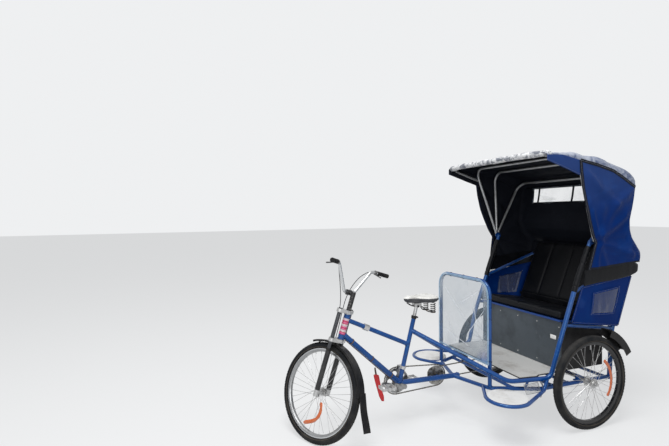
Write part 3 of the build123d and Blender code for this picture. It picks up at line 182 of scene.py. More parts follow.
def finish(name, fixed, vary=None):
    """A material: fixed holds the shader's constant values, and vary(graph) gives what changes."""
    material = bpy.data.materials.new(name)
    material.use_nodes = True
    graph = Graph(material.node_tree)
    changing = dict(vary(graph)) if vary else {}
    bump = changing.pop("bump", None)
    if bump:
        height, strength, distance = bump
        changing["Normal"] = graph.node("ShaderNodeBump", inputs={
            "Height": height, "Strength": strength, "Distance": distance})
    surface = graph.node("ShaderNodeBsdfPrincipled", inputs={**fixed, **changing})
    graph.node("ShaderNodeOutputMaterial", inputs={"Surface": surface})
    return material


def seen_by_eye(g):
    """1 for what the camera sees, straight or in gloss and clear sheet, and 0 for light that falls on it."""
    path = g.node("ShaderNodeLightPath").socket.node
    straight, mirrored, through = [Signal(g, path.outputs[kind]) for kind in (
        "Is Camera Ray", "Is Glossy Ray", "Is Transmission Ray")]
    return (straight + mirrored + through).math("MINIMUM", 1.0)


ROOM_LIGHT = 0.46
BACKDROP = (0.86, 0.87, 0.88)
world = bpy.data.worlds.new("room")
bpy.context.scene.world = world
world.use_nodes = True
room = Graph(world.node_tree)
lit = room.node("ShaderNodeBackground", inputs={"Color": (1, 1, 1), "Strength": ROOM_LIGHT})
shown = room.node("ShaderNodeBackground", inputs={"Color": BACKDROP, "Strength": 1.0})
wall = room.node("ShaderNodeMixShader", inputs={0: seen_by_eye(room), 1: lit, 2: shown})
room.node("ShaderNodeOutputWorld", inputs={"Surface": wall})


def keep(bm, name, finishes, body=None, replaces=(), sharp=35):
    """Turns a bmesh into a smooth-shaded object at the origin, which rides on a body."""
    bmesh.ops.remove_doubles(bm, verts=bm.verts, dist=0.00002)
    bmesh.ops.recalc_face_normals(bm, faces=bm.faces)
    mesh = bpy.data.meshes.new(name)
    bm.to_mesh(mesh)
    bm.free()
    mesh.polygons.foreach_set("use_smooth", [True] * len(mesh.polygons))
    mesh.set_sharp_from_angle(angle=radians(sharp))
    for each in finishes if isinstance(finishes, (list, tuple)) else [finishes]:
        mesh.materials.append(each)
    made = bpy.data.objects.new(name, mesh)
    bpy.context.scene.collection.objects.link(made)
    if body:
        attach(made, body)
    if replaces:
        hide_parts(*replaces)
    return made


floor_paint = bpy.data.materials.new("pale_floor")
floor_paint.use_nodes = True
ground = Graph(floor_paint.node_tree)
matt = ground.node("ShaderNodeBsdfDiffuse", inputs={"Color": (0.74, 0.745, 0.75)})
even = ground.node("ShaderNodeEmission", inputs={"Color": BACKDROP, "Strength": 1.0})
levelled = ground.node("ShaderNodeMixShader", inputs={0: seen_by_eye(ground) * 0.66, 1: matt, 2: even})
ground.node("ShaderNodeOutputMaterial", inputs={"Surface": levelled})
floor_mesh = bmesh.new()
bmesh.ops.create_grid(floor_mesh, x_segments=2, y_segments=2, size=40)
keep(floor_mesh, "floor", floor_paint)

# Tyres: three 26 inch tyres of black rubber, 54 mm wide, with a low block tread and a thin tan line on
# the side wall. They are pressed on to the rims and hold by their beads.

TYRE_CENTRE_R = 0.3065
TYRE_R = 0.027
TREAD_DEPTH = 0.0016
BEAD_HALF = 0.0115
RIM_EDGE_R = 0.2903
WHEELS = (
    ("front", "front_wheel", "front_wheel_spin"),
    ("rear_left", "rear_left_wheel", "rear_left_wheel_spin"),
    ("rear_right", "rear_right_wheel", "rear_right_wheel_spin"),
)


def turned_to(x_way, y_way, z_way):
    """A turn that lays the three axes along the given directions."""
    return Matrix((x_way, y_way, z_way)).transposed().to_4x4()


def wheel_frame(joint_name):
    """A wheel's own frame: X along its axle, and Z as upright as the axle lets it be."""
    joint = joints[joint_name]
    axle = Vector(joint["axis"]).normalized()
    back = Vector((0, 0, 1)).cross(axle).normalized()
    return Matrix.Translation(joint["pos_m"]) @ turned_to(axle, back, axle.cross(back))


def spin_profile(bm, profile, steps):
    """Turns a closed outline of (along the axle, radius) points about the X axis."""
    corners = [bm.verts.new((along, 0, radius)) for along, radius in profile]
    edges = [bm.edges.new(pair) for pair in zip(corners, corners[1:] + corners[:1])]
    bmesh.ops.spin(bm, geom=corners + edges, cent=(0, 0, 0), axis=(1, 0, 0), dvec=(0, 0, 0),
                   angle=2 * pi, steps=steps, use_merge=True, use_duplicate=False)


def tread_block(bm, tilt, length, width, twist, lead):
    """One low block on the tyre's crown, tilted round its section and twisted from the rolling line."""
    radius = TYRE_R - TREAD_DEPTH / 2 - 0.0002
    place = Matrix.Rotation(lead, 4, "X") @ Matrix.Translation((0, 0, TYRE_CENTRE_R))
    place = place @ Matrix.Rotation(tilt, 4, "Y") @ Matrix.Translation((0, 0, radius))
    place = place @ Matrix.Rotation(twist, 4, "Z") @ Matrix.Diagonal((width, length, TREAD_DEPTH, 1))
    made = bmesh.ops.create_cube(bm, size=1, matrix=place)["verts"]
    top = [vert for vert in made if vert.co.length > (place @ Vector((0, 0, 0))).length]
    bmesh.ops.scale(bm, verts=top, vec=(0.86, 0.86, 1), space=place.inverted())
    return made


def tyre_mesh():
    bm = bmesh.new()
    carcass_r = TYRE_R - TREAD_DEPTH
    section = []
    for step in range(33):
        angle = radians(-128 + 8 * step)
        section.append((carcass_r * sin(angle), TYRE_CENTRE_R + carcass_r * cos(angle)))
    section += [(BEAD_HALF, RIM_EDGE_R), (BEAD_HALF, 0.285), (-BEAD_HALF, 0.285), (-BEAD_HALF, RIM_EDGE_R)]
    spin_profile(bm, section, 120)
    blocks = []
    pitch = 2 * pi / 84
    for tilt, length, width, twist, lead in (
        (0, 0.012, 0.0055, 0.0, 0.0), (17, 0.013, 0.0060, 28, 0.5), (-17, 0.013, 0.0060, -28, 0.5),
        (34, 0.012, 0.0062, 42, 0.1), (-34, 0.012, 0.0062, -42, 0.1), (51, 0.008, 0.0055, 60, 0.6),
        (-51, 0.008, 0.0055, -60, 0.6),
    ):
        blocks += tread_block(bm, radians(tilt), length, width, radians(twist), lead * pitch)
    faces = {face for vert in blocks for face in vert.link_faces}
    edges = {edge for vert in blocks for edge in vert.link_edges}
    bmesh.ops.spin(bm, geom=blocks + list(edges) + list(faces), cent=(0, 0, 0), axis=(1, 0, 0),
                   dvec=(0, 0, 0), angle=2 * pi - pitch, steps=83, use_duplicate=True)
    return bm


def from_axle(g, joint_name):
    """How far a point of a wheel lies along its axle, and how far out from it."""
    own = wheel_frame(joint_name)
    side, back, up = g.parts(g.moved(own.to_translation(), own.to_euler()))
    return side, (back * back + up * up).math("SQRT")


def wheel_rubber(joint_name):
    """Tyre rubber whose tan line and dust follow this wheel's own axle."""
    def look(g):
        radius = from_axle(g, joint_name)[1]
        line = g.spread(radius, 0.2975, 0.2981) * (1 - g.spread(radius, 0.2998, 0.3004))
        dust = g.spread(g.noise(9, detail=5, roughness=0.6), 0.38, 0.72)
        crown = g.spread(radius, 0.322, 0.332)
        base = g.mix(dust * 0.5 + crown * 0.25, (0.008, 0.009, 0.011), (0.052, 0.050, 0.047))
        ribs = (radius * 2600).math("SINE") * (1 - g.spread(radius, 0.305, 0.312))
        return {"Base Color": g.mix(line * 0.45, base, (0.16, 0.125, 0.085)),
                "Roughness": 0.72 + dust * 0.16,
                "bump": (g.noise(420, detail=4) * 0.5 + ribs * 0.35, 0.35, 0.0006)}

    return finish(f"tyre_rubber_{joint_name}", {"Specular IOR Level": 0.12}, look)


tyre_parts = tyre_mesh()
for wheel, body, spin_joint in WHEELS:
    copy = tyre_parts.copy()
    bmesh.ops.transform(copy, matrix=wheel_frame(spin_joint), verts=copy.verts)
    rubber = wheel_rubber(spin_joint)
    keep(copy, f"{wheel}_tyre_tread", rubber, body, [f"{wheel}_tyre"], sharp=50)
tyre_parts.free()

# Rims: box-section rims of aluminium alloy. The front one is bare with worn side walls, and the rear
# ones are painted black. The spokes pull them true.


def dress(node, material):
    """Gives a carried-over CAD node its material."""
    target = frame["nodes"][node].data.materials
    target.clear()
    target.append(material)


def rim_look(joint_name, painted):
    def look(g):
        side, radius = from_axle(g, joint_name)
        grime = g.spread(g.noise(12, detail=5, roughness=0.65), 0.45, 0.75)
        lathed = g.node("ShaderNodeCombineXYZ", inputs={0: radius * 90, 1: side * 90, 2: 0.0})
        turned = g.noise(60, vector=lathed)
        wall = g.spread(side.math("ABSOLUTE"), 0.0145, 0.0149) * g.spread(radius, 0.277, 0.278)
        chips = g.spread(g.noise(70, detail=5, roughness=0.7), 0.66, 0.68)
        if painted:
            base = g.mix(grime * 0.35, (0.005, 0.005, 0.006), (0.045, 0.043, 0.040))
            bare = wall * g.spread(turned, 0.52, 0.72) * 0.35 + chips * 0.8
            return {"Base Color": g.mix(bare, base, (0.42, 0.42, 0.42)), "Metallic": bare,
                    "Roughness": 0.38 + grime * 0.25}
        base = g.mix(grime * 0.5, (0.34, 0.345, 0.35), (0.13, 0.125, 0.12))
        base = g.mix(g.spread(radius, 0.2835, 0.2845), base, (0.62, 0.63, 0.64))
        return {"Base Color": base, "Roughness": 0.24 + turned * 0.2 + grime * 0.2}

    return look


for wheel, body, spin_joint in WHEELS:
    painted = wheel != "front"
    dress(f"{wheel}_rim", finish(f"{wheel}_rim_metal", {"Metallic": 1.0} if not painted else {},
                                 rim_look(spin_joint, painted)))

# Hubs and spokes: a turned steel shell with two drilled flanges and 36 plain spokes, laced three-cross,
# each with its head in the flange and a brass nipple in the rim.

SPOKES = 36
SPOKE_R = 0.00115
SPOKE_SWING = radians(60)
FLANGE_X = 0.027
RIM_INNER_R = 0.268
SPOKE_END_R = RIM_INNER_R - 0.0003


def aimed(place, along, axis="Z", up="Y"):
    """Puts a shape at a place with one of its axes along a direction."""
    return Matrix.Translation(place) @ along.to_track_quat(axis, up).to_matrix().to_4x4()


def rod(bm, start, end, start_r, end_r, sides):
    """A straight bar between two points, thinner at one end where it tapers."""
    along = end - start
    place = aimed((start + end) / 2, along)
    return bmesh.ops.create_cone(bm, cap_ends=True, segments=sides, radius1=start_r, radius2=end_r,
                                 depth=along.length, matrix=place)["verts"]


def hub_and_spokes(flange_r, shell_r, half, bore_r):
    bm = bmesh.new()
    waist_r = shell_r * 0.86
    one_end = [(0.015, waist_r), (0.0236, shell_r), (0.0248, flange_r - 0.002), (0.0256, flange_r),
               (0.0284, flange_r), (0.0292, flange_r - 0.002), (0.0305, shell_r),
               (half - 0.002, shell_r * 0.9), (half, shell_r * 0.8), (half, bore_r)]
    spin_profile(bm, [(-x, r) for x, r in reversed(one_end)] + one_end, 40)
    hole_r = flange_r - 0.003
    pitch = 4 * pi / SPOKES
    for side in (-1, 1):
        for number in range(SPOKES // 2):
            lead = 1 if number % 2 else -1
            hub_angle = number * pitch + (pitch / 2 if side > 0 else 0)
            rim_angle = hub_angle + lead * SPOKE_SWING
            face_x = side * (FLANGE_X + lead * 0.0022)
            head = Vector((face_x, hole_r * cos(hub_angle), hole_r * sin(hub_angle)))
            end = Vector((side * 0.003, SPOKE_END_R * cos(rim_angle), SPOKE_END_R * sin(rim_angle)))
            nipple = end + (head - end).normalized() * 0.013
            rod(bm, head, nipple, SPOKE_R, SPOKE_R, 6)
            rod(bm, nipple, end, 0.0019, 0.0026, 8)
            rod(bm, head + Vector((side * lead * 0.0016, 0, 0)), head, 0.0016, 0.0024, 6)
    return bm


def plated_look(g):
    grime = g.spread(g.noise(24, detail=5, roughness=0.65), 0.42, 0.7)
    rust = g.spread(g.noise(90, detail=4), 0.64, 0.72)
    base = g.mix(grime * 0.6, (0.50, 0.50, 0.50), (0.19, 0.185, 0.175))
    return {"Base Color": g.mix(rust * 0.5, base, (0.20, 0.11, 0.06)), "Roughness": 0.36 + grime * 0.26}


plated_steel = finish("plated_steel", {"Metallic": 1.0}, plated_look)
front_hub = hub_and_spokes(0.024, 0.015, 0.033, 0.00505)
rear_hub = hub_and_spokes(0.034, 0.022, 0.038, 0.0103)
for wheel, body, spin_joint in WHEELS:
    laced = (front_hub if wheel == "front" else rear_hub).copy()
    rod(laced, Vector((0.0, 0.0, 0.268)), Vector((0.0, 0.0, 0.232)), 0.0033, 0.0028, 10)
    bmesh.ops.transform(laced, matrix=wheel_frame(spin_joint), verts=laced.verts)
    keep(laced, f"{wheel}_lacing", plated_steel, body, [f"{wheel}_spokes"])
front_hub.free()
rear_hub.free()

# Spoke reflectors: curved strips of orange plastic with a ribbed face, clipped across the spokes. The
# front one hangs loose, nearer the hub.


def sweep(bm, stations, sides=10, caps=True):
    """A skin through rings, each given as (middle, one half-width vector, the other)."""
    def ring_point(station, number):
        middle, across, rise = station
        angle = 2 * pi * number / sides
        return middle + across * cos(angle) + rise * sin(angle)

    ring = bmesh.ops.create_circle(bm, cap_ends=False, segments=sides, radius=1)["verts"]
    loops = [list(ring)]
    edges = list({edge for vert in ring for edge in vert.link_edges})
    for number, vert in enumerate(ring):
        vert.co = ring_point(stations[0], number)
    for station in stations[1:]:
        grown = bmesh.ops.extrude_edge_only(bm, edges=edges)["geom"]
        edges = [part for part in grown if isinstance(part, bmesh.types.BMEdge)]
        fresh = {part for part in grown if isinstance(part, bmesh.types.BMVert)}
        loop = []
        for number, old in enumerate(loops[-1]):
            vert = next(edge.other_vert(old) for edge in old.link_edges if edge.other_vert(old) in fresh)
            vert.co = ring_point(station, number)
            loop.append(vert)
        loops.append(loop)
    if caps:
        bmesh.ops.contextual_create(bm, geom=loops[0])
        bmesh.ops.contextual_create(bm, geom=loops[-1])
    return loops


def tube_stations(points, radius, flat=1.0, up=Vector((0, 0, 1))):
    """Rings for a tube or flattened bar along points, carried round each bend without twist."""
    stations = []
    for number, point in enumerate(points):
        before = points[max(number - 1, 0)]
        after = points[min(number + 1, len(points) - 1)]
        along = (after - before).normalized()
        up = (up - along * up.dot(along)).normalized()
        stations.append((point, along.cross(up) * radius, up * radius * flat))
    return stations


def flowing(points, steps=6):
    """Points of a smooth line through the given ones."""
    points = [Vector(point) for point in points]
    line = []
    for number in range(len(points) - 1):
        before = points[max(number - 1, 0)]
        start, end = points[number], points[number + 1]
        after = points[min(number + 2, len(points) - 1)]
        for step in range(steps):
            share = step / steps
            line.append(0.5 * (2 * start + (end - before) * share
                               + (2 * before - 5 * start + 4 * end - after) * share ** 2
                               + (3 * start - before - 3 * end + after) * share ** 3))
    line.append(points[-1])
    return line


def reflector_look(g):
    cells = g.node("ShaderNodeTexVoronoi", inputs={"Vector": g.place(), "Scale": 330.0})
    dust = g.spread(g.noise(26, detail=4), 0.45, 0.75)
    base = g.mix(cells, (0.62, 0.125, 0.010), (0.34, 0.050, 0.005))
    return {"Base Color": g.mix(dust * 0.35, base, (0.35, 0.22, 0.15)), "Roughness": 0.16 + dust * 0.3,
            "bump": (cells, 0.4, 0.0006)}


orange_plastic = finish("orange_plastic", {"Coat Weight": 0.5, "Coat Roughness": 0.1}, reflector_look)
CLIP_R = 0.1855
arc = [(CLIP_R * cos(radians(turn)), CLIP_R * sin(radians(turn))) for turn in range(52, -40, -10)]
loose = [(0.040, -0.058), (0.046, -0.120), (0.010, -0.180), (-0.085, -0.222)]
for wheel, body, spin_joint, line, side in (
    ("front", "front_wheel", "front_wheel_spin", loose, 1),
    ("rear_left", "rear_left_wheel", "rear_left_wheel_spin", arc, 1),
    ("rear_right", "rear_right_wheel", "rear_right_wheel_spin", arc, -1),
):
    bm = bmesh.new()
    spine = flowing([(side * (0.0165 if wheel != "front" else 0.019), back, up) for back, up in line], 5)
    rings = tube_stations(spine, 0.0125, 0.32, Vector((side, 0, 0)))
    for number, (middle, across, rise) in enumerate(rings):
        narrow = 0.55 if number in (0, len(rings) - 1) else 0.80 if number % 6 == 3 else 1.0
        rings[number] = (middle, across * narrow, rise * (0.4 + 0.6 * narrow))
    sweep(bm, rings, 12)
    bmesh.ops.transform(bm, matrix=wheel_frame(spin_joint), verts=bm.verts)
    keep(bm, f"{wheel}_reflector", orange_plastic, body)

# Rear axle: two steel shafts in bearing blocks, and the differential's drum between them. The shafts
# turn with their wheels, and the blocks are bolted to the lower rails.

for node in ("rear_left_shaft", "rear_right_shaft"):
    dress(node, plated_steel)


def greasy_look(g):
    grease = g.spread(g.noise(30, detail=6, roughness=0.7), 0.4, 0.66)
    base = g.mix(grease, (0.34, 0.33, 0.31), (0.035, 0.03, 0.026))
    return {"Base Color": base, "Roughness": 0.3 + grease * 0.3, "bump": (g.noise(160), 0.2, 0.0005)}


greasy_steel = finish("greasy_steel", {"Metallic": 0.9}, greasy_look)
for node in ("differential", "jackshaft"):
    dress(node, greasy_steel)

# Fork: black telescopic legs with bright stanchions, clamped in two cast crowns. The crowns' steerer
# turns in the head tube, and the axle is held in the dropouts by its nuts.

REST_TURN = radians(-61.0)
AXIS_UP = Vector(joints["steer"]["axis"])
AXIS_FOOT = Vector(joints["steer"]["pos_m"])
at_rest = Matrix.Rotation(REST_TURN, 4, AXIS_UP).to_3x3()
STEER_LEFT = at_rest @ Vector((1, 0, 0))
STEER_FORWARD = at_rest @ Vector((0, -AXIS_UP.z, AXIS_UP.y))


def steered(left, forward, up):
    """A point of the steering as it stands: to its left, forward of its axis, and up along it."""
    return AXIS_FOOT + STEER_LEFT * left + STEER_FORWARD * forward + AXIS_UP * up


steer_frame = Matrix.Translation(AXIS_FOOT) @ turned_to(STEER_LEFT, -STEER_FORWARD, AXIS_UP)
SLIDER_TOP_UP = 0.300
LEG_X, LEG_FORWARD = 0.062, 0.026


def fork_look(g):
    left, back, up = g.parts(g.moved(steer_frame.to_translation(), steer_frame.to_euler()))
    bright = g.spread(up, SLIDER_TOP_UP, SLIDER_TOP_UP + 0.0006)
    bare = g.spread(up, 0.028, 0.024) + bright
    scuffs = g.spread(g.noise(46, detail=6, roughness=0.75), 0.60, 0.68)
    dust = g.spread(g.noise(7, detail=4), 0.4, 0.75)
    base = g.mix(dust * 0.3, (0.006, 0.006, 0.007), (0.05, 0.048, 0.045))
    base = g.mix(scuffs * 0.5, base, (0.10, 0.097, 0.094))
    base = g.mix(bare, base, (0.48, 0.48, 0.48))
    return {"Base Color": g.mix(bright, base, (0.075, 0.078, 0.085)), "Metallic": bare * 0.95,
            "Roughness": 0.34 + dust * 0.2 - bright * 0.14}


def absorb(bm, part):
    """Moves the faces of a small mesh into a larger one."""
    mesh = bpy.data.meshes.new("part")
    part.to_mesh(mesh)
    part.free()
    bm.from_mesh(mesh)
    bpy.data.meshes.remove(mesh)


dress("fork_legs", finish("fork_paint", {"Coat Weight": 0.12}, fork_look))
bm = bmesh.new()
for side in (-1, 1):
    seal = bmesh.new()
    lip = [(0, 0.0145), (0, 0.0192), (0.004, 0.0196), (0.007, 0.0186), (0.013, 0.0172), (0.016, 0.0150),
           (0.016, 0.0145)]
    spin_profile(seal, lip, 28)
    low = steered(side * LEG_X, LEG_FORWARD, SLIDER_TOP_UP - 0.002)
    bmesh.ops.transform(seal, matrix=aimed(low, AXIS_UP, "X", "Z"), verts=seal.verts)
    absorb(bm, seal)


def rubber_look(g):
    dust = g.spread(g.noise(20, detail=5, roughness=0.6), 0.4, 0.75)
    return {"Base Color": g.mix(dust * 0.5, (0.007, 0.007, 0.008), (0.040, 0.038, 0.035)),
            "Roughness": 0.62 + dust * 0.2, "bump": (g.noise(500, detail=2), 0.25, 0.0004)}


black_rubber = finish("black_rubber", {"Specular IOR Level": 0.15}, rubber_look)
keep(bm, "fork_seals", black_rubber, "steering")


def cast_look(g):
    grime = g.spread(g.noise(34, detail=5, roughness=0.65), 0.42, 0.7)
    base = g.mix(grime * 0.55, (0.56, 0.56, 0.56), (0.20, 0.195, 0.19))
    return {"Base Color": base, "Roughness": 0.36 + grime * 0.22,
            "bump": (g.noise(350, detail=3), 0.25, 0.0004)}


cast_alloy = finish("cast_alloy", {"Metallic": 1.0}, cast_look)
dress("fork_crowns", cast_alloy)


def bolt(bm, place, out, size, washer=True):
    """A hexagon bolt head that stands out from a face, on its washer."""
    out = out.normalized()
    if washer:
        rod(bm, place, place + out * size * 0.18, size * 1.15, size * 1.15, 16)
    rod(bm, place + out * size * 0.18, place + out * size * 0.75, size * 0.85, size * 0.85, 6)
    rod(bm, place + out * size * 0.75, place + out * size * 0.86, size * 0.82, size * 0.62, 6)


bm = bmesh.new()
for crown_up in (0.374, 0.579):
    for side in (-1, 1):
        bolt(bm, steered(side * (LEG_X - 0.02), LEG_FORWARD + 0.0205, crown_up), STEER_FORWARD, 0.006)
keep(bm, "crown_bolts", plated_steel, "steering")

# Front mudguard: a black plastic channel on a stay under the lower crown, with a long rubber flap that
# is riveted to its rear end and hangs down behind the wheel.


def plastic_look(g):
    dust = g.spread(g.noise(8, detail=5, roughness=0.6), 0.35, 0.7)
    scratches = g.spread(g.noise(120, detail=3, distortion=2.0), 0.63, 0.66)
    top = g.facing_up()
    base = g.mix(dust * 0.3 + top * 0.25, (0.005, 0.005, 0.006), (0.065, 0.062, 0.06))
    return {"Base Color": g.mix(scratches * 0.2, base, (0.12, 0.12, 0.12)), "Roughness": 0.36 + dust * 0.25,
            "bump": (g.noise(260, detail=3), 0.15, 0.0004)}


black_plastic = finish("black_plastic", {"Specular IOR Level": 0.2}, plastic_look)
dress("front_fender", black_plastic)
dress("rear_mudguards", black_plastic)

straight_hub = at(0, 0, 0) + Vector((0, 0, AXIS_FOOT.z + 0.045 * AXIS_UP.y))
turn_rest = (Matrix.Translation(AXIS_FOOT) @ Matrix.Rotation(REST_TURN, 4, AXIS_UP)
             @ Matrix.Translation(-AXIS_FOOT))


def add_grid(bm, columns, rows, place):
    """A sheet of columns by rows whose points lie where place(u, v) says, u and v from 0 to 1."""
    made = bmesh.ops.create_grid(bm, x_segments=columns, y_segments=rows, size=0.5)["verts"]
    for vert in made:
        vert.co = place(vert.co.x + 0.5, vert.co.y + 0.5)
    return made


def solid_sheet(piece, thickness, offset=0.0):
    """Gives a sheet its real thickness."""
    wall = piece.modifiers.new("thickness", "SOLIDIFY")
    wall.thickness = thickness
    wall.offset = offset
    return piece


def flap_point(u, v):
    x = (u - 0.5) * (0.078 - 0.008 * v)
    z = straight_hub.z + 0.018 - (straight_hub.z - 0.098) * (1 - v)
    y = FRONT_Y + 0.3545 + 0.042 * (1 - v) ** 1.4 + 0.0012 * sin(v * 9) + 0.0016 * (2 * u - 1) ** 2
    return turn_rest @ Vector((x, y, z))


bm = bmesh.new()
add_grid(bm, 10, 40, flap_point)
solid_sheet(keep(bm, "front_flap_rubber", black_rubber, "steering", ["front_flap"]), 0.0016)

# Handlebar: a high chromed bar in a black stem, with ribbed rubber grips and cast brake levers. The
# stem is clamped on the fork's steerer.

dress("stem", finish("stem_paint", {"Metallic": 0.2}, lambda g: {
    "Base Color": g.mix(g.spread(g.noise(60, detail=5), 0.6, 0.66),
                        (0.015, 0.015, 0.016), (0.16, 0.155, 0.15)),
    "Roughness": 0.35 + g.noise(12) * 0.2}))
dress("handlebar", finish("bar_chrome", {"Metallic": 1.0}, lambda g: {
    "Base Color": g.mix(g.spread(g.noise(40, detail=5), 0.55, 0.75), (0.62, 0.63, 0.64), (0.30, 0.29, 0.27)),
    "Roughness": 0.16 + g.noise(25, detail=4) * 0.22}))
dress("brake_levers", finish("lever_alloy", {"Metallic": 0.6}, lambda g: {
    "Base Color": g.mix(g.spread(g.noise(50, detail=5), 0.5, 0.7), (0.10, 0.10, 0.10), (0.30, 0.29, 0.28)),
    "Roughness": 0.38 + g.noise(30) * 0.15}))
STEM_FORWARD, STEM_CLAMP_UP, BAR_TOP_UP = 0.042, 0.709, 0.894
BAR_END_X, BAR_BEND_X, BAR_END_BACK = 0.335, 0.195, 0.055
for side, side_name in ((1, "left"), (-1, "right")):
    bm = bmesh.new()
    outline = [(-0.0040, 0.0), (-0.0040, 0.0150), (-0.0015, 0.0159), (0.0025, 0.0159), (0.0035, 0.0146)]
    for rib in range(12):
        start = 0.0045 + rib * 0.0068
        outline += [(start, 0.0146), (start + 0.0012, 0.0154), (start + 0.0046, 0.0154),
                    (start + 0.0058, 0.0146)]
    outline += [(0.0880, 0.0148), (0.0895, 0.0159), (0.0935, 0.0159), (0.0935, 0.0114), (0.0, 0.0114),
                (0.0, 0.0)]
    spin_profile(bm, outline, 28)
    end = steered(side * BAR_END_X, STEM_FORWARD - BAR_END_BACK, BAR_TOP_UP)
    bend = steered(side * BAR_BEND_X, STEM_FORWARD, BAR_TOP_UP)
    bmesh.ops.transform(bm, matrix=aimed(end, bend - end, "X", "Z"), verts=bm.verts)
    keep(bm, f"{side_name}_grip", black_rubber, "steering", ["grips"])
bm = bmesh.new()
bolt(bm, steered(0, STEM_FORWARD + 0.0185, STEM_CLAMP_UP), STEER_FORWARD, 0.006)
bolt(bm, steered(0, 0, STEM_CLAMP_UP + 0.012), AXIS_UP, 0.0075)
keep(bm, "stem_bolts", plated_steel, "steering")

# Front frame: round steel tubes, welded and sprayed with blue enamel that is chipped and dusty. Coloured
# tape is wound round the head tube.

BLUE, DEEP_BLUE, WORN_BLUE = (0.002, 0.058, 0.260), (0.001, 0.024, 0.125), (0.02, 0.17, 0.43)
ROAD_DUST, PRIMER = (0.20, 0.19, 0.175), (0.11, 0.075, 0.06)


def enamel_look(g):
    dust = g.spread(g.noise(3.4, detail=5, roughness=0.6), 0.40, 0.72)
    shade = g.noise(7, detail=2)
    scuffs = g.spread(g.noise(19, detail=6, roughness=0.78), 0.585, 0.66)
    chips = g.spread(g.noise(64, detail=5, roughness=0.7), 0.672, 0.688)
    base = g.mix(shade, DEEP_BLUE, BLUE)
    base = g.mix(scuffs * 0.35, base, WORN_BLUE)
    base = g.mix(dust * 0.12 + g.facing_up() * 0.10, base, ROAD_DUST)
    base = g.mix(chips, base, PRIMER)
    return {"Base Color": base, "Roughness": 0.24 + dust * 0.22 + scuffs * 0.15 + chips * 0.3,
            "Coat Weight": 0.22 - dust * 0.15 - chips * 0.05,
            "bump": (g.noise(150, detail=2) * 0.15 - chips * 0.7, 0.3, 0.0006)}


blue_enamel = finish("blue_enamel", {"Coat Roughness": 0.12, "Specular Tint": (0.35, 0.70, 1.0)}, enamel_look)
for node in ("front_frame", "main_rails", "lower_frame", "rear_hoop", "guard_hoop", "side_rails",
             "step_tubes", "hood_struts", "axle_bearings"):
    dress(node, blue_enamel)
HEAD_BOTTOM_UP, HEAD_TOP_UP, HEAD_R = 0.394, 0.559, 0.022


def on_axis(up):
    """A point of the steering axis."""
    return AXIS_FOOT + AXIS_UP * up


def weld_bead(bm, middle, along, radius, width=0.0028):
    """A rippled bead of weld round a tube."""
    bead = bmesh.new()
    circle = bmesh.ops.create_circle(bead, cap_ends=False, segments=8, radius=width)["verts"]
    bmesh.ops.rotate(bead, verts=circle, cent=(0, 0, 0), matrix=Matrix.Rotation(pi / 2, 3, "X"))
    bmesh.ops.translate(bead, verts=circle, vec=(radius, 0, 0))
    edges = list({edge for vert in circle for edge in vert.link_edges})
    bmesh.ops.spin(bead, geom=circle + edges, cent=(0, 0, 0), axis=(0, 0, 1), dvec=(0, 0, 0), angle=2 * pi,
                   steps=44, use_merge=True, use_duplicate=False)
    for vert in bead.verts:
        vert.co *= 1 + 0.012 * noise.noise(vert.co * 900)
    along = along.normalized()
    bmesh.ops.transform(bead, matrix=aimed(middle, along), verts=bead.verts)
    absorb(bm, bead)


bracket = at(0, 0.618, 0.315)
seat_tube_top = at(0, 0.745, 0.795)
seat_along = (seat_tube_top - bracket).normalized()
top_tube_end = bracket + (seat_tube_top - bracket) * ((0.590 - 0.315) / 0.480)
top_tube_start = on_axis(HEAD_TOP_UP - 0.032)
down_tube_start = on_axis(HEAD_BOTTOM_UP + 0.034)
boom_end = at(0, 1.128, 0.303)
bm = bmesh.new()
for start, end, radius, gap in (
    (top_tube_start, top_tube_end, 0.016, 0.0235), (top_tube_end, top_tube_start, 0.016, 0.0175),
    (down_tube_start, bracket, 0.019, 0.0245), (bracket, down_tube_start, 0.019, 0.026),
    (bracket, seat_tube_top, 0.016, 0.026), (bracket, boom_end, 0.019, 0.026),
):
    weld_bead(bm, start + (end - start).normalized() * gap, end - start, radius + 0.0004)
rail_down = (at(0.400, 1.250, 0.375) - at(0, 0.7172, 0.690)).normalized()
for side in (-1, 1):
    down = Vector((rail_down.x * side, rail_down.y, rail_down.z))
    weld_bead(bm, at(0, 0.7172, 0.690) + down * 0.030, down, 0.0165)
weld_bead(bm, boom_end - (boom_end - bracket).normalized() * 0.012, boom_end - bracket, 0.0195)
keep(bm, "front_frame_welds", blue_enamel, "chassis")


def tape_look(g):
    up = g.parts(g.moved(steer_frame.to_translation(), steer_frame.to_euler()))[2]
    turns = up * 420 + g.noise(30, detail=3) * 5
    stripe = g.spread(turns.math("SINE"), -0.2, 0.2)
    second = g.spread((turns * 0.37).math("SINE"), 0.3, 0.5)
    base = g.mix(stripe, (0.42, 0.020, 0.060), (0.50, 0.10, 0.24))
    return {"Base Color": g.mix(second, base, (0.50, 0.42, 0.44)), "Roughness": 0.35 + g.noise(40) * 0.2,
            "bump": (turns.math("SINE") + g.noise(120, detail=3), 0.35, 0.0008)}


bm = bmesh.new()
wrap = []
for step in range(29):
    up = HEAD_BOTTOM_UP + 0.030 + 0.0040 * step
    radius = HEAD_R + 0.0012 + 0.0006 * sin(step * 2.1)
    wrap.append((on_axis(up), Vector((radius, 0, 0)), Vector((0, AXIS_UP.z, -AXIS_UP.y)) * radius))
sweep(bm, wrap, 30)
keep(bm, "head_tube_tape", finish("wound_tape", {"Coat Weight": 0.3}, tape_look), "chassis")

# Saddle: a wide sprung-shell saddle with a pale worn vinyl top and deep dark sides, clamped on a plain
# steel post. The post is held in the seat tube by a bolted collar.

SADDLE_LOW, SADDLE_TOP = 0.889, 0.9495
NOSE_Y, REAR_Y = 0.661, 0.929


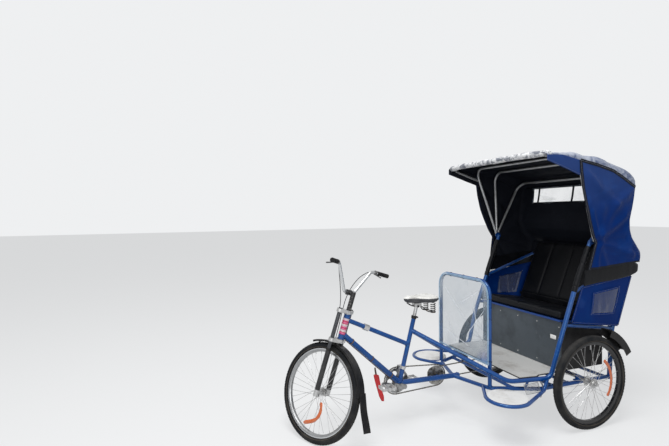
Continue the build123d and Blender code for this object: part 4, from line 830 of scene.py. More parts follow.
def saddle_look(g):
    height = g.parts(g.place())[2]
    edge = height + g.noise(14, detail=3) * 0.006
    side = g.spread(edge, 0.9305, 0.9285)
    cracks = g.spread(g.noise(75, detail=7, roughness=0.75), 0.60, 0.68)
    dirt = g.spread(g.noise(12, detail=5), 0.42, 0.72)
    top = g.mix(dirt * 0.6, (0.62, 0.62, 0.60), (0.34, 0.33, 0.31))
    top = g.mix(cracks * 0.4, top, (0.15, 0.15, 0.15))
    skirt = g.mix(dirt, (0.018, 0.020, 0.026), (0.055, 0.056, 0.06))
    seam = g.spread(edge, 0.9262, 0.9274) * g.spread(edge, 0.9292, 0.9280)
    return {"Base Color": g.mix(side, top, skirt), "Roughness": 0.42 + dirt * 0.25,
            "bump": (g.noise(420, detail=3) * 0.4 + cracks * 0.25 - seam, 0.35, 0.0008)}


bm = bmesh.new()
bmesh.ops.create_cube(bm, size=2)
bmesh.ops.subdivide_edges(bm, edges=bm.edges, cuts=15, use_grid_fill=True)
for vert in bm.verts:
    a, b, c = vert.co
    ball = Vector((a * sqrt(max(1 - b * b / 2 - c * c / 2 + b * b * c * c / 3, 0)),
                   b * sqrt(max(1 - a * a / 2 - c * c / 2 + a * a * c * c / 3, 0)),
                   c * sqrt(max(1 - a * a / 2 - b * b / 2 + a * a * b * b / 3, 0))))
    soft = Vector((a, b, c)).lerp(ball, 0.62)
    share = (soft.y + 1) / 2
    blend = min(max((share - 0.22) / 0.5, 0), 1)
    half_width = 0.031 + 0.066 * blend * blend * (3 - 2 * blend)
    crest = 0.0035 * cos(share * 5.2) - 0.004 * (1 - abs(soft.x)) * sin(pi * share)
    skirt_in = 0.90 if soft.z < -0.2 else 1.0
    z = (SADDLE_LOW + SADDLE_TOP) / 2 + soft.z * (SADDLE_TOP - SADDLE_LOW) / 2
    z += crest - 0.0032 if soft.z > 0 else 0
    vert.co = at(soft.x * half_width * skirt_in, NOSE_Y + share * (REAR_Y - NOSE_Y), z)
saddle = keep(bm, "saddle_shell", finish("saddle_vinyl", {"Sheen Weight": 0.1}, saddle_look), "chassis",
              ["saddle"], sharp=60)
rounding = saddle.modifiers.new("rounding", "SUBSURF")
rounding.levels = rounding.render_levels = 1
dress("seat_post", plated_steel)
bm = bmesh.new()
clamp_y, clamp_z = 0.7664, 0.8657
SPRING_X, SPRING_Y, COIL_R = 0.048, 0.874, 0.017
for side in (-1, 1):
    coil = []
    for step in range(73):
        angle = step * pi / 8
        coil.append(at(side * SPRING_X + COIL_R * cos(angle), SPRING_Y + COIL_R * sin(angle),
                       0.8235 + 0.0640 * step / 72))
    sweep(bm, tube_stations(coil, 0.0030), 8)
    rail = flowing([at(side * 0.012, clamp_y + 0.010, clamp_z),
                    at(side * 0.016, clamp_y + 0.034, clamp_z - 0.006),
                    at(side * 0.034, 0.838, 0.826), at(side * SPRING_X, SPRING_Y, 0.8205)], 6)
    sweep(bm, tube_stations(rail, 0.0038), 8)
    nose = flowing([at(side * 0.012, clamp_y - 0.010, clamp_z), at(side * 0.013, 0.724, 0.870),
                    at(side * 0.010, 0.690, 0.8905)], 6)
    sweep(bm, tube_stations(nose, 0.0036), 8)
    rod(bm, at(side * SPRING_X, SPRING_Y, 0.8165), at(side * SPRING_X, SPRING_Y, 0.8225), 0.0185, 0.0200, 20)
sweep(bm, tube_stations([at(-0.050 + 0.0125 * step, SPRING_Y + 0.010 * (1 - (step / 4 - 1) ** 2), 0.8195)
                         for step in range(9)], 0.0040), 8)
bolt(bm, at(0.0222, clamp_y, clamp_z), Vector((1, 0, 0)), 0.0075)
bolt(bm, at(-0.0222, clamp_y, clamp_z), Vector((-1, 0, 0)), 0.0075)
keep(bm, "saddle_springs", finish("black_wire", {"Metallic": 0.3}, lambda g: {
    "Base Color": g.mix(g.spread(g.noise(70, detail=5), 0.55, 0.68),
                        (0.013, 0.013, 0.014), (0.11, 0.075, 0.05)),
    "Roughness": 0.38 + g.noise(30) * 0.2}), "chassis")
bm = bmesh.new()
collar = seat_tube_top - seat_along * 0.012
for low, high, radius in ((-0.010, -0.008, 0.0178), (-0.008, 0.010, 0.0198), (0.010, 0.012, 0.0178)):
    rod(bm, collar + seat_along * low, collar + seat_along * high, radius, radius, 32)
ear = collar + Vector((0, 0.022, 0))
rod(bm, ear + Vector((-0.014, 0, 0)), ear + Vector((0.014, 0, 0)), 0.0062, 0.0062, 14)
bolt(bm, ear + Vector((0.014, 0, 0)), Vector((1, 0, 0)), 0.0055)
keep(bm, "seat_collar", black_plastic, "chassis")
dress("tube_clamp", cast_alloy)

# Cranks and pedals: forged cotterless cranks with a drilled chainring on a spindle through the bracket
# shell, and flat metal pedals that turn on their pins.

dress("crankset", finish("crank_alloy", {"Metallic": 0.9}, lambda g: {
    "Base Color": g.mix(g.spread(g.noise(30, detail=6, roughness=0.7), 0.4, 0.68),
                        (0.33, 0.33, 0.33), (0.05, 0.045, 0.04)),
    "Roughness": 0.3 + g.noise(40, detail=4) * 0.25}))
for node in ("left_pedal", "right_pedal", "chain_guide"):
    dress(node, cast_alloy)

# Chains: roller chains of half-inch pitch from the cranks to the jackshaft, and from the jackshaft to
# the differential. Each link is two pressed plates on a pin and its roller.

LINK_PITCH = 0.0127


def belt(front_r, front, rear_r, rear):
    """Where each pin of a chain round two sprockets sits, as (place, direction) in the YZ plane."""
    span = (rear - front).length
    ahead = (rear - front) / span
    upward = Vector((0, -ahead.z, ahead.y)) if ahead.y > 0 else Vector((0, ahead.z, -ahead.y))
    slant = asin((front_r - rear_r) / span)
    run = span * cos(slant)
    rear_arc, front_arc = rear_r * (pi - 2 * slant), front_r * (pi + 2 * slant)
    whole = 2 * run + rear_arc + front_arc
    count = 2 * round(whole / LINK_PITCH / 2)
    pins = []

    def on_wheel(middle, radius, angle):
        out = ahead * cos(angle) + upward * sin(angle)
        return middle + out * radius, upward * -cos(angle) + ahead * sin(angle)

    for number in range(count):
        gone = whole * number / count
        if gone < run:
            start, way = on_wheel(front, front_r, pi / 2 - slant)
            pins.append((start + way * gone, way))
        elif gone < run + rear_arc:
            pins.append(on_wheel(rear, rear_r, pi / 2 - slant - (gone - run) / rear_r))
        elif gone < 2 * run + rear_arc:
            start, way = on_wheel(rear, rear_r, slant - pi / 2)
            pins.append((start + way * (gone - run - rear_arc), way))
        else:
            pins.append(on_wheel(front, front_r, slant - pi / 2 - (gone - 2 * run - rear_arc) / front_r))
    return pins


def chain_mesh(x, front_r, front, rear_r, rear):
    bm = bmesh.new()
    pins = belt(front_r, front, rear_r, rear)
    for number, (pin, way) in enumerate(pins):
        after = pins[(number + 1) % len(pins)][0]
        along = (after - pin).normalized()
        facing = turned_to(Vector((1, 0, 0)), along, Vector((1, 0, 0)).cross(along))
        middle = (pin + after) / 2 + Vector((x, 0, 0))
        offset = 0.0030 if number % 2 else 0.0020
        for side in (-1, 1):
            plate = bmesh.ops.create_circle(bm, cap_ends=True, segments=12, radius=0.0039)["verts"]
            bmesh.ops.rotate(bm, verts=plate, cent=(0, 0, 0), matrix=Matrix.Rotation(pi / 2, 3, "Y"))
            for vert in plate:
                vert.co.y += 0.00635 if vert.co.y > 0 else -0.00635
            face = plate[0].link_faces[0]
            thick = bmesh.ops.extrude_face_region(bm, geom=[face])["geom"]
            lifted = [part for part in thick if isinstance(part, bmesh.types.BMVert)]
            bmesh.ops.translate(bm, verts=lifted, vec=(0.0009, 0, 0))
            both = plate + lifted
            shift = offset - 0.00045 if side > 0 else -offset - 0.00045
            bmesh.ops.translate(bm, verts=both, vec=(shift, 0, 0))
            bmesh.ops.transform(bm, matrix=Matrix.Translation(middle) @ facing, verts=both)
        centre = pin + Vector((x, 0, 0))
        rod(bm, centre - Vector((0.0034, 0, 0)), centre + Vector((0.0034, 0, 0)), 0.0021, 0.0021, 8)
        rod(bm, centre - Vector((0.0016, 0, 0)), centre + Vector((0.0016, 0, 0)), 0.0036, 0.0036, 10)
    return bm


def chain_look(g):
    oil = g.spread(g.noise(140, detail=4), 0.4, 0.65)
    rust = g.spread(g.noise(35, detail=4), 0.55, 0.75)
    base = g.mix(oil, (0.30, 0.29, 0.27), (0.04, 0.035, 0.03))
    return {"Base Color": g.mix(rust * 0.35, base, (0.16, 0.085, 0.045)), "Roughness": 0.32 + oil * 0.25}


chain_steel = finish("oiled_chain", {"Metallic": 0.9}, chain_look)
jack = at(0, 0.955, 0.310)
rear_axle = at(0, WHEELBASE, 0.3335)
for name, x, front_r, front, rear_r, rear in (
    ("front_chain", -0.045, 0.100, bracket, 0.080, jack),
    ("rear_chain", -0.085, 0.045, jack, 0.050, rear_axle),
):
    links = chain_mesh(x, front_r, front, rear_r, rear)
    keep(links, f"{name}_links", chain_steel, "chassis", [name])

# Lower frame, main rails and posts: bent and welded tubes under and beside the passengers' floor, in
# the same blue enamel. The weld beads are left as laid.

LOWER_RAIL_Z = 0.303
bm = bmesh.new()
for side in (-1, 1):
    for cross_y, reach in ((1.330, 0.370), (1.620, 0.440), (1.762, 0.440), (1.948, 0.440)):
        weld_bead(bm, at(side * (reach - 0.016), cross_y, LOWER_RAIL_Z), Vector((1, 0, 0)), 0.0124)
    weld_bead(bm, at(side * 0.470, 1.690, 0.741), Vector((0, 1, -0.14)), 0.0130)
    weld_bead(bm, at(side * 0.470, 2.118, 0.681), Vector((0, 1, -0.14)), 0.0130)
    weld_bead(bm, at(side * 0.470, 1.800, 0.982), Vector((0, 1, 0.33)), 0.0130)
    weld_bead(bm, at(side * 0.300, 1.176, LOWER_RAIL_Z + 0.017), Vector((0, 0, 1)), 0.0146)
keep(bm, "cab_welds", blue_enamel, "chassis")

# Floor: a dark pan screwed to the main rails, under a sheet of bare metal that shoes have rubbed pale.
# Three rows of domed screws hold both down.


def worn_sheet_look(g):
    across = g.moved(scale=(0.02, 0.25, 1.0))
    rubbed = g.noise(4, detail=5, vector=across)
    dirt = g.spread(g.noise(7, detail=6, roughness=0.65), 0.45, 0.72)
    base = g.mix(dirt * 0.7, (0.60, 0.60, 0.585), (0.30, 0.285, 0.265))
    return {"Base Color": base, "Roughness": 0.42 + rubbed * 0.15 + dirt * 0.15,
            "bump": (g.noise(60, detail=4), 0.12, 0.001)}


worn_sheet = finish("worn_sheet", {"Metallic": 0.35}, worn_sheet_look)
dress("floor_sheet", worn_sheet)
dress("floor_pan", black_plastic)
bm = bmesh.new()
for x in (-0.36, -0.18, 0.0, 0.18, 0.36):
    for y in (1.352, 1.52, 1.68):
        rod(bm, at(x, y, 0.3971), at(x, y, 0.3981), 0.0048, 0.0036, 14)
keep(bm, "floor_screws", plated_steel, "chassis")

# Seat box: folded sheet-metal panels under the bench, screwed to the seat rails, with a small blank
# plate on the front. A plywood board lies on the rails and carries the cushion.


def painted_sheet_look(g):
    stains = g.spread(g.noise(5, detail=6, roughness=0.65), 0.4, 0.7)
    scuffs = g.spread(g.noise(40, detail=6, roughness=0.75, vector=g.moved(scale=(1, 1, 2.5))), 0.6, 0.68)
    base = g.mix(stains * 0.5, (0.075, 0.090, 0.105), (0.042, 0.048, 0.054))
    return {"Base Color": g.mix(scuffs * 0.3, base, (0.17, 0.18, 0.19)), "Roughness": 0.40 + stains * 0.2,
            "bump": (g.noise(3.5, detail=2), 0.4, 0.004)}


dress("seat_front_panel", finish("grey_sheet", {"Metallic": 0.55}, painted_sheet_look))
# The box's sides are black plastic, made dark as well to stand in for the shade under the bench.
dress("seat_box_sides", black_plastic)
dress("seat_board", finish("painted_plywood", {}, lambda g: {
    "Base Color": g.mix(g.spread(g.noise(30, detail=6, vector=g.moved(scale=(6, 1, 1))), 0.62, 0.68),
                        (0.004, 0.035, 0.17), (0.20, 0.15, 0.09)),
    "Roughness": 0.45 + g.noise(30) * 0.15,
    "bump": (g.noise(6, detail=6, vector=g.moved(scale=(3, 0.1, 0.1))), 0.2, 0.0006)}))
bm = bmesh.new()
plate_place = Matrix.Translation(at(0.355, 1.7012, 0.628)) @ Matrix.Diagonal((0.052, 0.0012, 0.030, 1))
bmesh.ops.create_cube(bm, size=1, matrix=plate_place)
bmesh.ops.bevel(bm, geom=bm.edges[:], offset=0.0004, affect="EDGES", segments=2, profile=0.5, material=-1)
keep(bm, "blank_plate", finish("white_plate", {}, lambda g: {
    "Base Color": g.mix(g.noise(90, detail=3), (0.74, 0.74, 0.73), (0.64, 0.64, 0.63)),
    "Roughness": 0.4 + g.noise(60) * 0.1}), "chassis")
bm = bmesh.new()
for x in (-0.405, -0.2, 0.0, 0.2, 0.405):
    for z in (0.425, 0.71):
        rod(bm, at(x, 1.7020, z), at(x, 1.7004, z), 0.0045, 0.0034, 14)
keep(bm, "seat_box_screws", plated_steel, "chassis")

# Cushion and back: foam slabs in black vinyl. The cushion lies on the board, and the back leans on the
# rear posts. Both have sewn channels across them, and a skirt of the same vinyl closes the gap between.

SEAT_X = 0.425
SEAT_FALL = (0.742 - 0.676) / (2.150 - 1.682)


def vinyl_look(base_colour, dusty, grain=430):
    def look(g):
        dust = g.spread(g.noise(6, detail=5, roughness=0.6), 0.4, 0.75)
        creases = g.spread(g.noise(16, detail=5, distortion=1.2), 0.52, 0.60)
        base = g.mix(dust * 0.4, base_colour, dusty)
        return {"Base Color": base, "Roughness": 0.40 + dust * 0.2,
                "bump": (g.noise(grain, detail=3) * 0.25 + creases * 0.25 + g.noise(30, detail=4) * 0.4,
                         0.4, 0.002)}

    return look


black_vinyl = finish("black_vinyl", {"Specular IOR Level": 0.14}, vinyl_look(
    (0.003, 0.0035, 0.005), (0.012, 0.012, 0.014)))


def stuffed(name, length, thickness, place, channels, cap):
    """A slab of foam in its cover: swelled by a short cloth simulation, then creased along its seams."""
    bm = bmesh.new()
    inset = 0.007
    size = (2 * SEAT_X - 2 * inset, length - 2 * inset, thickness - 2 * inset)
    bmesh.ops.create_cube(bm, size=1, matrix=Matrix.Diagonal((*size, 1)))
    bmesh.ops.bevel(bm, geom=bm.edges[:], offset=0.012, affect="EDGES", segments=3, profile=0.5, material=-1)
    piece = keep(bm, name, black_vinyl)
    remesh = piece.modifiers.new("skin", "REMESH")
    remesh.mode = "VOXEL"
    remesh.voxel_size = 0.006
    bake(piece)
    before = [vert.co.copy() for vert in piece.data.vertices]
    cloth = piece.modifiers.new("filling", "CLOTH")
    cloth.settings.use_pressure = True
    cloth.settings.uniform_pressure_force = 4.0
    cloth.settings.quality = 4
    cloth.settings.effector_weights.gravity = 0
    cloth.collision_settings.use_collision = False
    cloth.point_cache.frame_end = 20
    for number in range(1, 21):
        bpy.context.scene.frame_set(number)
    bake(piece)
    bpy.context.scene.frame_set(1)
    for start, vert in zip(before, piece.data.vertices):
        moved = vert.co - start
        if moved.length > cap:
            vert.co = start + moved.normalized() * cap
        dip = sum(0.0075 * exp(-((vert.co.x - seam) / 0.009) ** 2) for seam in channels)
        if vert.co.z > 0:
            vert.co.z -= dip
    soft = piece.modifiers.new("softness", "SUBSURF")
    soft.levels = soft.render_levels = 1
    bake(piece)
    piece.data.transform(place)
    piece.data.polygons.foreach_set("use_smooth", [True] * len(piece.data.polygons))
    return piece


def bake(piece):
    """Applies a piece's modifiers to its mesh."""
    bpy.context.view_layer.update()
    shown = piece.evaluated_get(bpy.context.evaluated_depsgraph_get())
    mesh = bpy.data.meshes.new_from_object(shown)
    piece.modifiers.clear()
    piece.data = mesh


def seat_height(y, above):
    """A plane over the sloping seat rails, at a distance above their middle line."""
    return 0.676 + (2.150 - y) * SEAT_FALL + above * sqrt(1 + SEAT_FALL ** 2)


cushion_up = 0.0125 + 0.0003 + 0.012 + 0.0003
slope = Vector((0, 1, -SEAT_FALL)).normalized()
square = Vector((0, SEAT_FALL, 1)).normalized()
cushion_rear = at(0, 2.093, seat_height(2.093, cushion_up))
cushion_middle = cushion_rear - slope * 0.205 + square * 0.0325
cushion_place = Matrix.Translation(cushion_middle) @ turned_to(Vector((1, 0, 0)), slope, square)
cushion = stuffed("cushion", 0.410, 0.065, cushion_place, (-0.2125, 0.0, 0.2125), 0.006)
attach(cushion, "chassis")
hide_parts("seat_cushion")
back_rise = (at(0, 2.400, 1.245) - at(0, 2.150, 0.676))
BACK_START = 0.098
back_length = back_rise.length + 0.006 - BACK_START
rise = back_rise.normalized()
outward = Vector((1, 0, 0)).cross(rise)
back_middle = at(0, 2.150, 0.676) + rise * (BACK_START + back_length / 2)
back_middle += outward * (0.0163 + 0.0375) * (1 if outward.y < 0 else -1)
front_of_back = outward if outward.y < 0 else -outward
back_place = Matrix.Translation(back_middle) @ turned_to(front_of_back.cross(-rise), -rise, front_of_back)
backrest = stuffed("backrest", back_length, 0.075, back_place, (-0.2125, 0.0, 0.2125), 0.006)
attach(backrest, "chassis")
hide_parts("seat_back")


def ripple(x, y, z):
    """Smooth noise at a point, from about -1 to 1."""
    return noise.noise(Vector((x, y, z)))


def skirt_point(u, v):
    x = (2 * u - 1) * 0.418
    return at(x, 2.1235 - 0.006 * v + 0.002 * ripple(x * 9, v * 2, 4), 0.706 + 0.106 * v)


bm = bmesh.new()
add_grid(bm, 60, 12, skirt_point)
skirt = solid_sheet(keep(bm, "back_skirt", black_vinyl, "chassis"), 0.0012)

# Side panels: blue coated cloth laced to the posts and rails beside the bench, each with a pocket of
# clear sheet sewn in and a bound edge. A black padded band covers the arm rail.

PANEL_X = 0.4863
PANEL = ((1.735, 0.762), (2.185, 0.700), (2.322, 1.060), (1.835, 1.000))
POCKET = ((1.915, 0.800), (2.140, 0.790), (2.205, 0.985), (1.940, 0.955))
HOOD_BLUE, HOOD_SUNNED = (0.0005, 0.017, 0.115), (0.001, 0.032, 0.160)


def blue_cloth_look(g):
    dust = g.spread(g.noise(5, detail=5, roughness=0.6), 0.42, 0.75)
    creases = g.noise(6, detail=4, distortion=0.7)
    base = g.mix(dust * 0.5, HOOD_BLUE, HOOD_SUNNED)
    # Crease peaks are painted a lighter blue: a painted highlight on the folds.
    return {"Base Color": g.mix(g.spread(creases, 0.60, 0.74) * 0.3, base, (0.02, 0.055, 0.20)),
            "Roughness": 0.42 + dust * 0.16,
            "bump": (creases * 0.9 + g.noise(50, detail=4) * 0.2 + g.noise(900, detail=1) * 0.04, 0.4, 0.003)}


blue_cloth = finish("blue_cloth", {"Specular IOR Level": 0.05}, blue_cloth_look)


def between(start, end, share):
    """A point of a plane at a share of the way between two others."""
    return start[0] + (end[0] - start[0]) * share, start[1] + (end[1] - start[1]) * share


def across_four(corners, u, v):
    """A point between four corners, given in order round them."""
    return between(between(corners[0], corners[1], u), between(corners[3], corners[2], u), v)


def inside_four(corners, y, z):
    """Whether a point lies within four corners, given in order round them."""
    turns = []
    for start, end in zip(corners, corners[1:] + corners[:1]):
        turns.append((end[0] - start[0]) * (z - start[1]) - (end[1] - start[1]) * (y - start[0]))
    return all(turn > 0 for turn in turns)


def crease_mask(g, along, up, start, end, width=0.0048):
    """1 on a straight crease between two points of a sheet's plane, fading at its ends."""
    run = hypot(end[0] - start[0], end[1] - start[1])
    ahead, rise = (end[0] - start[0]) / run, (end[1] - start[1]) / run
    gone = (along - start[0]) * ahead + (up - start[1]) * rise
    aside = ((up - start[1]) * ahead - (along - start[0]) * rise).math("ABSOLUTE")
    return ((1 - g.spread(aside, 0.0, width)) * g.spread(gone, 0.0, 0.06)
            * (1 - g.spread(gone, run - 0.06, run)))


def clear_look(tint, cover, streak_highlight_strength, stretch, creases=(), corner=None):
    """Clear flexible sheet: faintly tinted, with soft pale bands along its pull and a few pale creases, all
    painted highlights.
    """
    def look(g):
        soft = g.noise(14, detail=3, vector=g.moved(scale=stretch), distortion=0.25)
        streak_highlight = g.spread(soft, 0.54, 0.72) * streak_highlight_strength
        haze = g.spread(g.noise(4, detail=3), 0.42, 0.74)
        x, y, z = g.parts(g.place())
        # The pale crease and band mask: painted highlights on the clear sheet.
        painted_highlight = streak_highlight
        for start, end in creases:
            painted_highlight = painted_highlight.math("MAXIMUM", crease_mask(g, x, z, start, end))
        base = g.mix(painted_highlight, tint, (0.84, 0.87, 0.90))
        alpha = cover + painted_highlight * 0.6 + haze * 0.07
        if corner:
            near = g.spread(x - z * 0.9 + g.noise(6, detail=2) * 0.30, -0.16, -0.02)
            low = g.spread(z + g.noise(9, detail=2) * 0.12, 0.60, 0.50)
            base = g.mix(near * 0.8, base, g.mix(low, corner[0], corner[1]))
            alpha = alpha + near * 0.45
        return {"Base Color": base, "Alpha": alpha, "Roughness": 0.10 + haze * 0.12,
                "bump": (soft + painted_highlight * 0.6, 0.5, 0.004)}

    return look


SCREEN_CREASES = (((-0.26, 0.98), (0.08, 0.72)), ((-0.04, 0.84), (0.24, 1.00)),
                  ((-0.25, 0.80), (-0.06, 0.53)), ((0.04, 0.60), (0.27, 0.86)),
                  ((-0.27, 0.62), (0.12, 0.54)), ((0.12, 0.98), (0.20, 0.62)))
clear_sheet = finish("clear_sheet", {"Specular IOR Level": 0.6}, clear_look(
    (0.62, 0.70, 0.76), 0.055, 0.22, (4, 1, 1)))
screen_sheet = finish("screen_sheet", {"Specular IOR Level": 0.7}, clear_look(
    (0.26, 0.34, 0.42), 0.19, 0.42, (1, 1, 5), SCREEN_CREASES, ((0.14, 0.12, 0.36), (0.02, 0.24, 0.55))))
pocket_sheet = finish("pocket_sheet", {"Specular IOR Level": 0.6}, clear_look(
    (0.012, 0.028, 0.105), 0.86, 0.20, (1, 1, 6)))


def stitches(bm, points, out, lift, pitch=0.008):
    """A row of thread stitches along points, on a face that looks along out."""
    gone = pitch / 2
    for start, end in zip(points, points[1:]):
        along = end - start
        facing = turned_to(along.normalized(), out.cross(along).normalized(), out.normalized())
        while gone < along.length:
            middle = start + along.normalized() * gone + out.normalized() * lift
            thread = Matrix.Translation(middle) @ facing @ Matrix.Diagonal((0.0050, 0.0011, 0.0009, 1))
            bmesh.ops.create_cube(bm, size=1, matrix=thread)
            gone += pitch
        gone -= along.length


def thread_look(g):
    return {"Base Color": g.mix(g.noise(60, detail=3), (0.10, 0.12, 0.18), (0.22, 0.24, 0.30)),
            "Roughness": 0.6 + g.noise(300) * 0.1}


sewing_thread = finish("sewing_thread", {}, thread_look)


def binding(bm, points, out, width, thickness=0.0014):
    """A flat tape along points: out is the way its face looks."""
    rings = []
    for number, point in enumerate(points):
        along = (points[min(number + 1, len(points) - 1)] - points[max(number - 1, 0)]).normalized()
        wide = along.cross(out).normalized() * width / 2
        thick = wide.cross(along).normalized() * thickness / 2
        rings.append((point, wide + thick, wide - thick))
    sweep(bm, rings, 4)


for side, side_name in ((1, "left"), (-1, "right")):
    def panel_point(u, v, side=side):
        y, z = across_four(PANEL, u, v)
        swell = sin(pi * u) * sin(pi * v)
        wave = ripple(y * 9, z * 9, side) * 0.004 + ripple(y * 3, z * 14, 4) * 0.003
        return at(side * (PANEL_X + 0.0015 + swell * (0.004 + wave)), y, z)

    bm = bmesh.new()
    add_grid(bm, 64, 44, panel_point)
    hole = []
    for face in bm.faces:
        middle = face.calc_center_median()
        if inside_four(POCKET, middle.y - FRONT_Y, middle.z):
            hole.append(face)
    bmesh.ops.delete(bm, geom=hole, context="FACES")
    panel = keep(bm, f"{side_name}_side_panel", blue_cloth, "chassis", ["side_panels"])
    solid_sheet(panel, 0.0012)
    bm = bmesh.new()

    def pocket_point(u, v, side=side):
        y, z = across_four(POCKET, u, v)
        swell = sqrt(max(sin(pi * u) * sin(pi * v), 0))
        wave = ripple(y * 16, z * 7, side + 8) * 0.006 + ripple(y * 30, z * 22, 2) * 0.002
        return at(side * (PANEL_X + 0.003 + swell * (0.005 + wave)), y, z)

    add_grid(bm, 48, 40, pocket_point)
    pocket = keep(bm, f"{side_name}_pocket", pocket_sheet, "chassis", ["side_pockets"])
    solid_sheet(pocket, 0.0006)
    bm = bmesh.new()
    seams = bmesh.new()
    for corners, width, lift in ((PANEL, 0.018, 0.0028), (POCKET, 0.016, 0.0040)):
        for start, end in zip(corners, corners[1:] + corners[:1]):
            points = [at(side * (PANEL_X + lift + 0.0035 * sin(pi * step / 12) * (width < 0.017)),
                         start[0] + (end[0] - start[0]) * step / 12,
                         start[1] + (end[1] - start[1]) * step / 12)
                      for step in range(13)]
            binding(bm, points, Vector((side, 0, 0)), width)
            stitches(seams, points, Vector((side, 0, 0)), 0.0010)
    hems = keep(bm, f"{side_name}_panel_hems", blue_cloth, "chassis")
    sewn = keep(seams, f"{side_name}_panel_stitches", sewing_thread, "chassis")

BAND = ((1.842, 1.068, 0.054), (1.880, 1.078, 0.062), (2.000, 1.090, 0.060), (2.120, 1.100, 0.061),
        (2.240, 1.111, 0.060), (2.320, 1.116, 0.052), (2.385, 1.117, 0.031))
for side, side_name in ((1, "left"), (-1, "right")):
    rings = []
    line = flowing([(0, y, z) for y, z, half in BAND], 8)
    halves = flowing([(half, 0, 0) for y, z, half in BAND], 8)
    for number, (point, half) in enumerate(zip(line, halves)):
        fade = min(number, len(line) - 1 - number, 3) / 3
        puff = 0.0052 * (0.55 + 0.45 * fade) + 0.0014 * ripple(point.y * 26, point.z * 8, side)
        middle = at(side * (PANEL_X + 0.0094), point.y, point.z)
        rings.append((middle, Vector((0, 0.10, 1)).normalized() * half.x * (0.86 + 0.14 * fade),
                      Vector((side, 0, 0)) * puff))
    bm = bmesh.new()
    sweep(bm, rings, 20)
    band = keep(bm, f"{side_name}_arm_band", black_vinyl, "chassis", ["arm_bands"], sharp=70)

# Guard hoop and screen: a bent tube in front of the passengers' knees, with a creased clear sheet tied
# to it by its hem.

HOOP_X, HOOP_Y, HOOP_TOP, HOOP_CORNER = 0.300, 1.176, 1.056, 0.095
SCREEN_LOW = 0.470


def off_line(across, up, start, end):
    """How far a point of a flat sheet is from the straight run between two others."""
    run = Vector((end[0] - start[0], end[1] - start[1]))
    here = Vector((across - start[0], up - start[1]))
    share = min(max(here.dot(run) / run.length_squared, 0), 1)
    return (here - run * share).length


def screen_point(u, v):
    z = SCREEN_LOW + (HOOP_TOP + 0.004 - SCREEN_LOW) * v
    half = HOOP_X + 0.002
    drop = z - (HOOP_TOP - HOOP_CORNER)
    if drop > 0:
        half = HOOP_X - HOOP_CORNER + sqrt(max(HOOP_CORNER ** 2 - drop ** 2, 0.0002))
    x = (2 * u - 1) * half
    slack = (1 - (2 * u - 1) ** 4) * (1 - v ** 6)
    wave = ripple(x * 6, 2, z * 3) * 0.008
    for start, end in SCREEN_CREASES:
        wave += 0.0035 * exp(-(off_line(x, z, start, end) / 0.008) ** 2)
    return at(x, HOOP_Y - 0.0152 + slack * (wave - 0.0045), z)


bm = bmesh.new()
add_grid(bm, 90, 84, screen_point)
screen = keep(bm, "clear_screen", screen_sheet, "chassis", ["guard_screen"])
solid_sheet(screen, 0.0006)
bm = bmesh.new()
edge = [screen_point(0.0, step / 24) for step in range(25)]
edge += [screen_point(step / 24, 1.0) for step in range(1, 25)]
edge += [screen_point(1.0, 1 - step / 24) for step in range(1, 25)]
binding(bm, [point + Vector((0, -0.001, 0)) for point in edge], Vector((0, -1, 0)), 0.016, 0.001)
low_hem = [screen_point(step / 30, 0.0) + Vector((0, -0.001, 0.004)) for step in range(31)]
binding(bm, low_hem, Vector((0, -1, 0)), 0.014, 0.001)
# The hem is tinted light blue: a painted sky reflection of the hoop it wraps.
hem_sheet_painted_sky = finish("screen_hem", {"Specular IOR Level": 0.6}, clear_look(
    (0.36, 0.55, 0.74), 0.50, 0.40, (1, 1, 4)))
screen_hem = keep(bm, "screen_hem", hem_sheet_painted_sky, "chassis")
bm = bmesh.new()
for line in (edge, low_hem):
    stitches(bm, [point + Vector((0, -0.001, 0)) for point in line], Vector((0, -1, 0)), 0.0008)
screen_stitches = keep(bm, "screen_stitches", sewing_thread, "chassis")
bm = bmesh.new()
for side in (-1, 1):
    for z in (0.49, 0.64, 0.79, 0.93):
        loop = [at(side * (HOOP_X + 0.0148 * cos(turn * pi / 8)), HOOP_Y + 0.0162 * sin(turn * pi / 8),
                   z + 0.0006 * turn)
                for turn in range(17)]
        sweep(bm, tube_stations(loop, 0.0016), 6)
for x in (-0.16, 0.0, 0.16):
    loop = [at(x + 0.0006 * turn, HOOP_Y + 0.0156 * cos(turn * pi / 8),
               HOOP_TOP + 0.0156 * sin(turn * pi / 8))
            for turn in range(17)]
    sweep(bm, tube_stations(loop, 0.0016, up=Vector((1, 0, 0))), 6)
ties = keep(bm, "screen_ties", black_rubber, "chassis")

# Steps: round plates beside the hoop, on tubes bent round their rims. Their upper faces are painted pale,
# a painted sunlit top with dirt in it.


def step_look(g):
    top = g.facing_up()
    dirt = g.spread(g.noise(9, detail=6, roughness=0.65), 0.45, 0.7)
    # Upward faces go from the blue paint to pale grey: a painted sunlit top, darkened in places by dirt.
    painted_sunlit_top = g.mix(dirt * 0.5, (0.70, 0.70, 0.69), (0.44, 0.43, 0.41))
    return {"Base Color": g.mix(top, BLUE, painted_sunlit_top), "Roughness": 0.45 + dirt * 0.2,
            "bump": (g.noise(110, detail=4), 0.2, 0.0008)}


dress("step_discs", finish("step_painted_sunlit_top", {}, step_look))

# Hood frame: galvanised tube bows that swing on a pin at each side, on blue struts. A bolt head closes
# each pin on the outside.


def galvanised_look(g):
    spangle = g.node("ShaderNodeTexVoronoi", inputs={"Vector": g.place(), "Scale": 85.0}, out="Color")
    grime = g.spread(g.noise(20, detail=4), 0.45, 0.75)
    base = g.mix(g.parts(spangle)[0] * 0.35 + grime * 0.3, (0.42, 0.43, 0.44), (0.24, 0.24, 0.24))
    return {"Base Color": base, "Roughness": 0.38 + grime * 0.2}


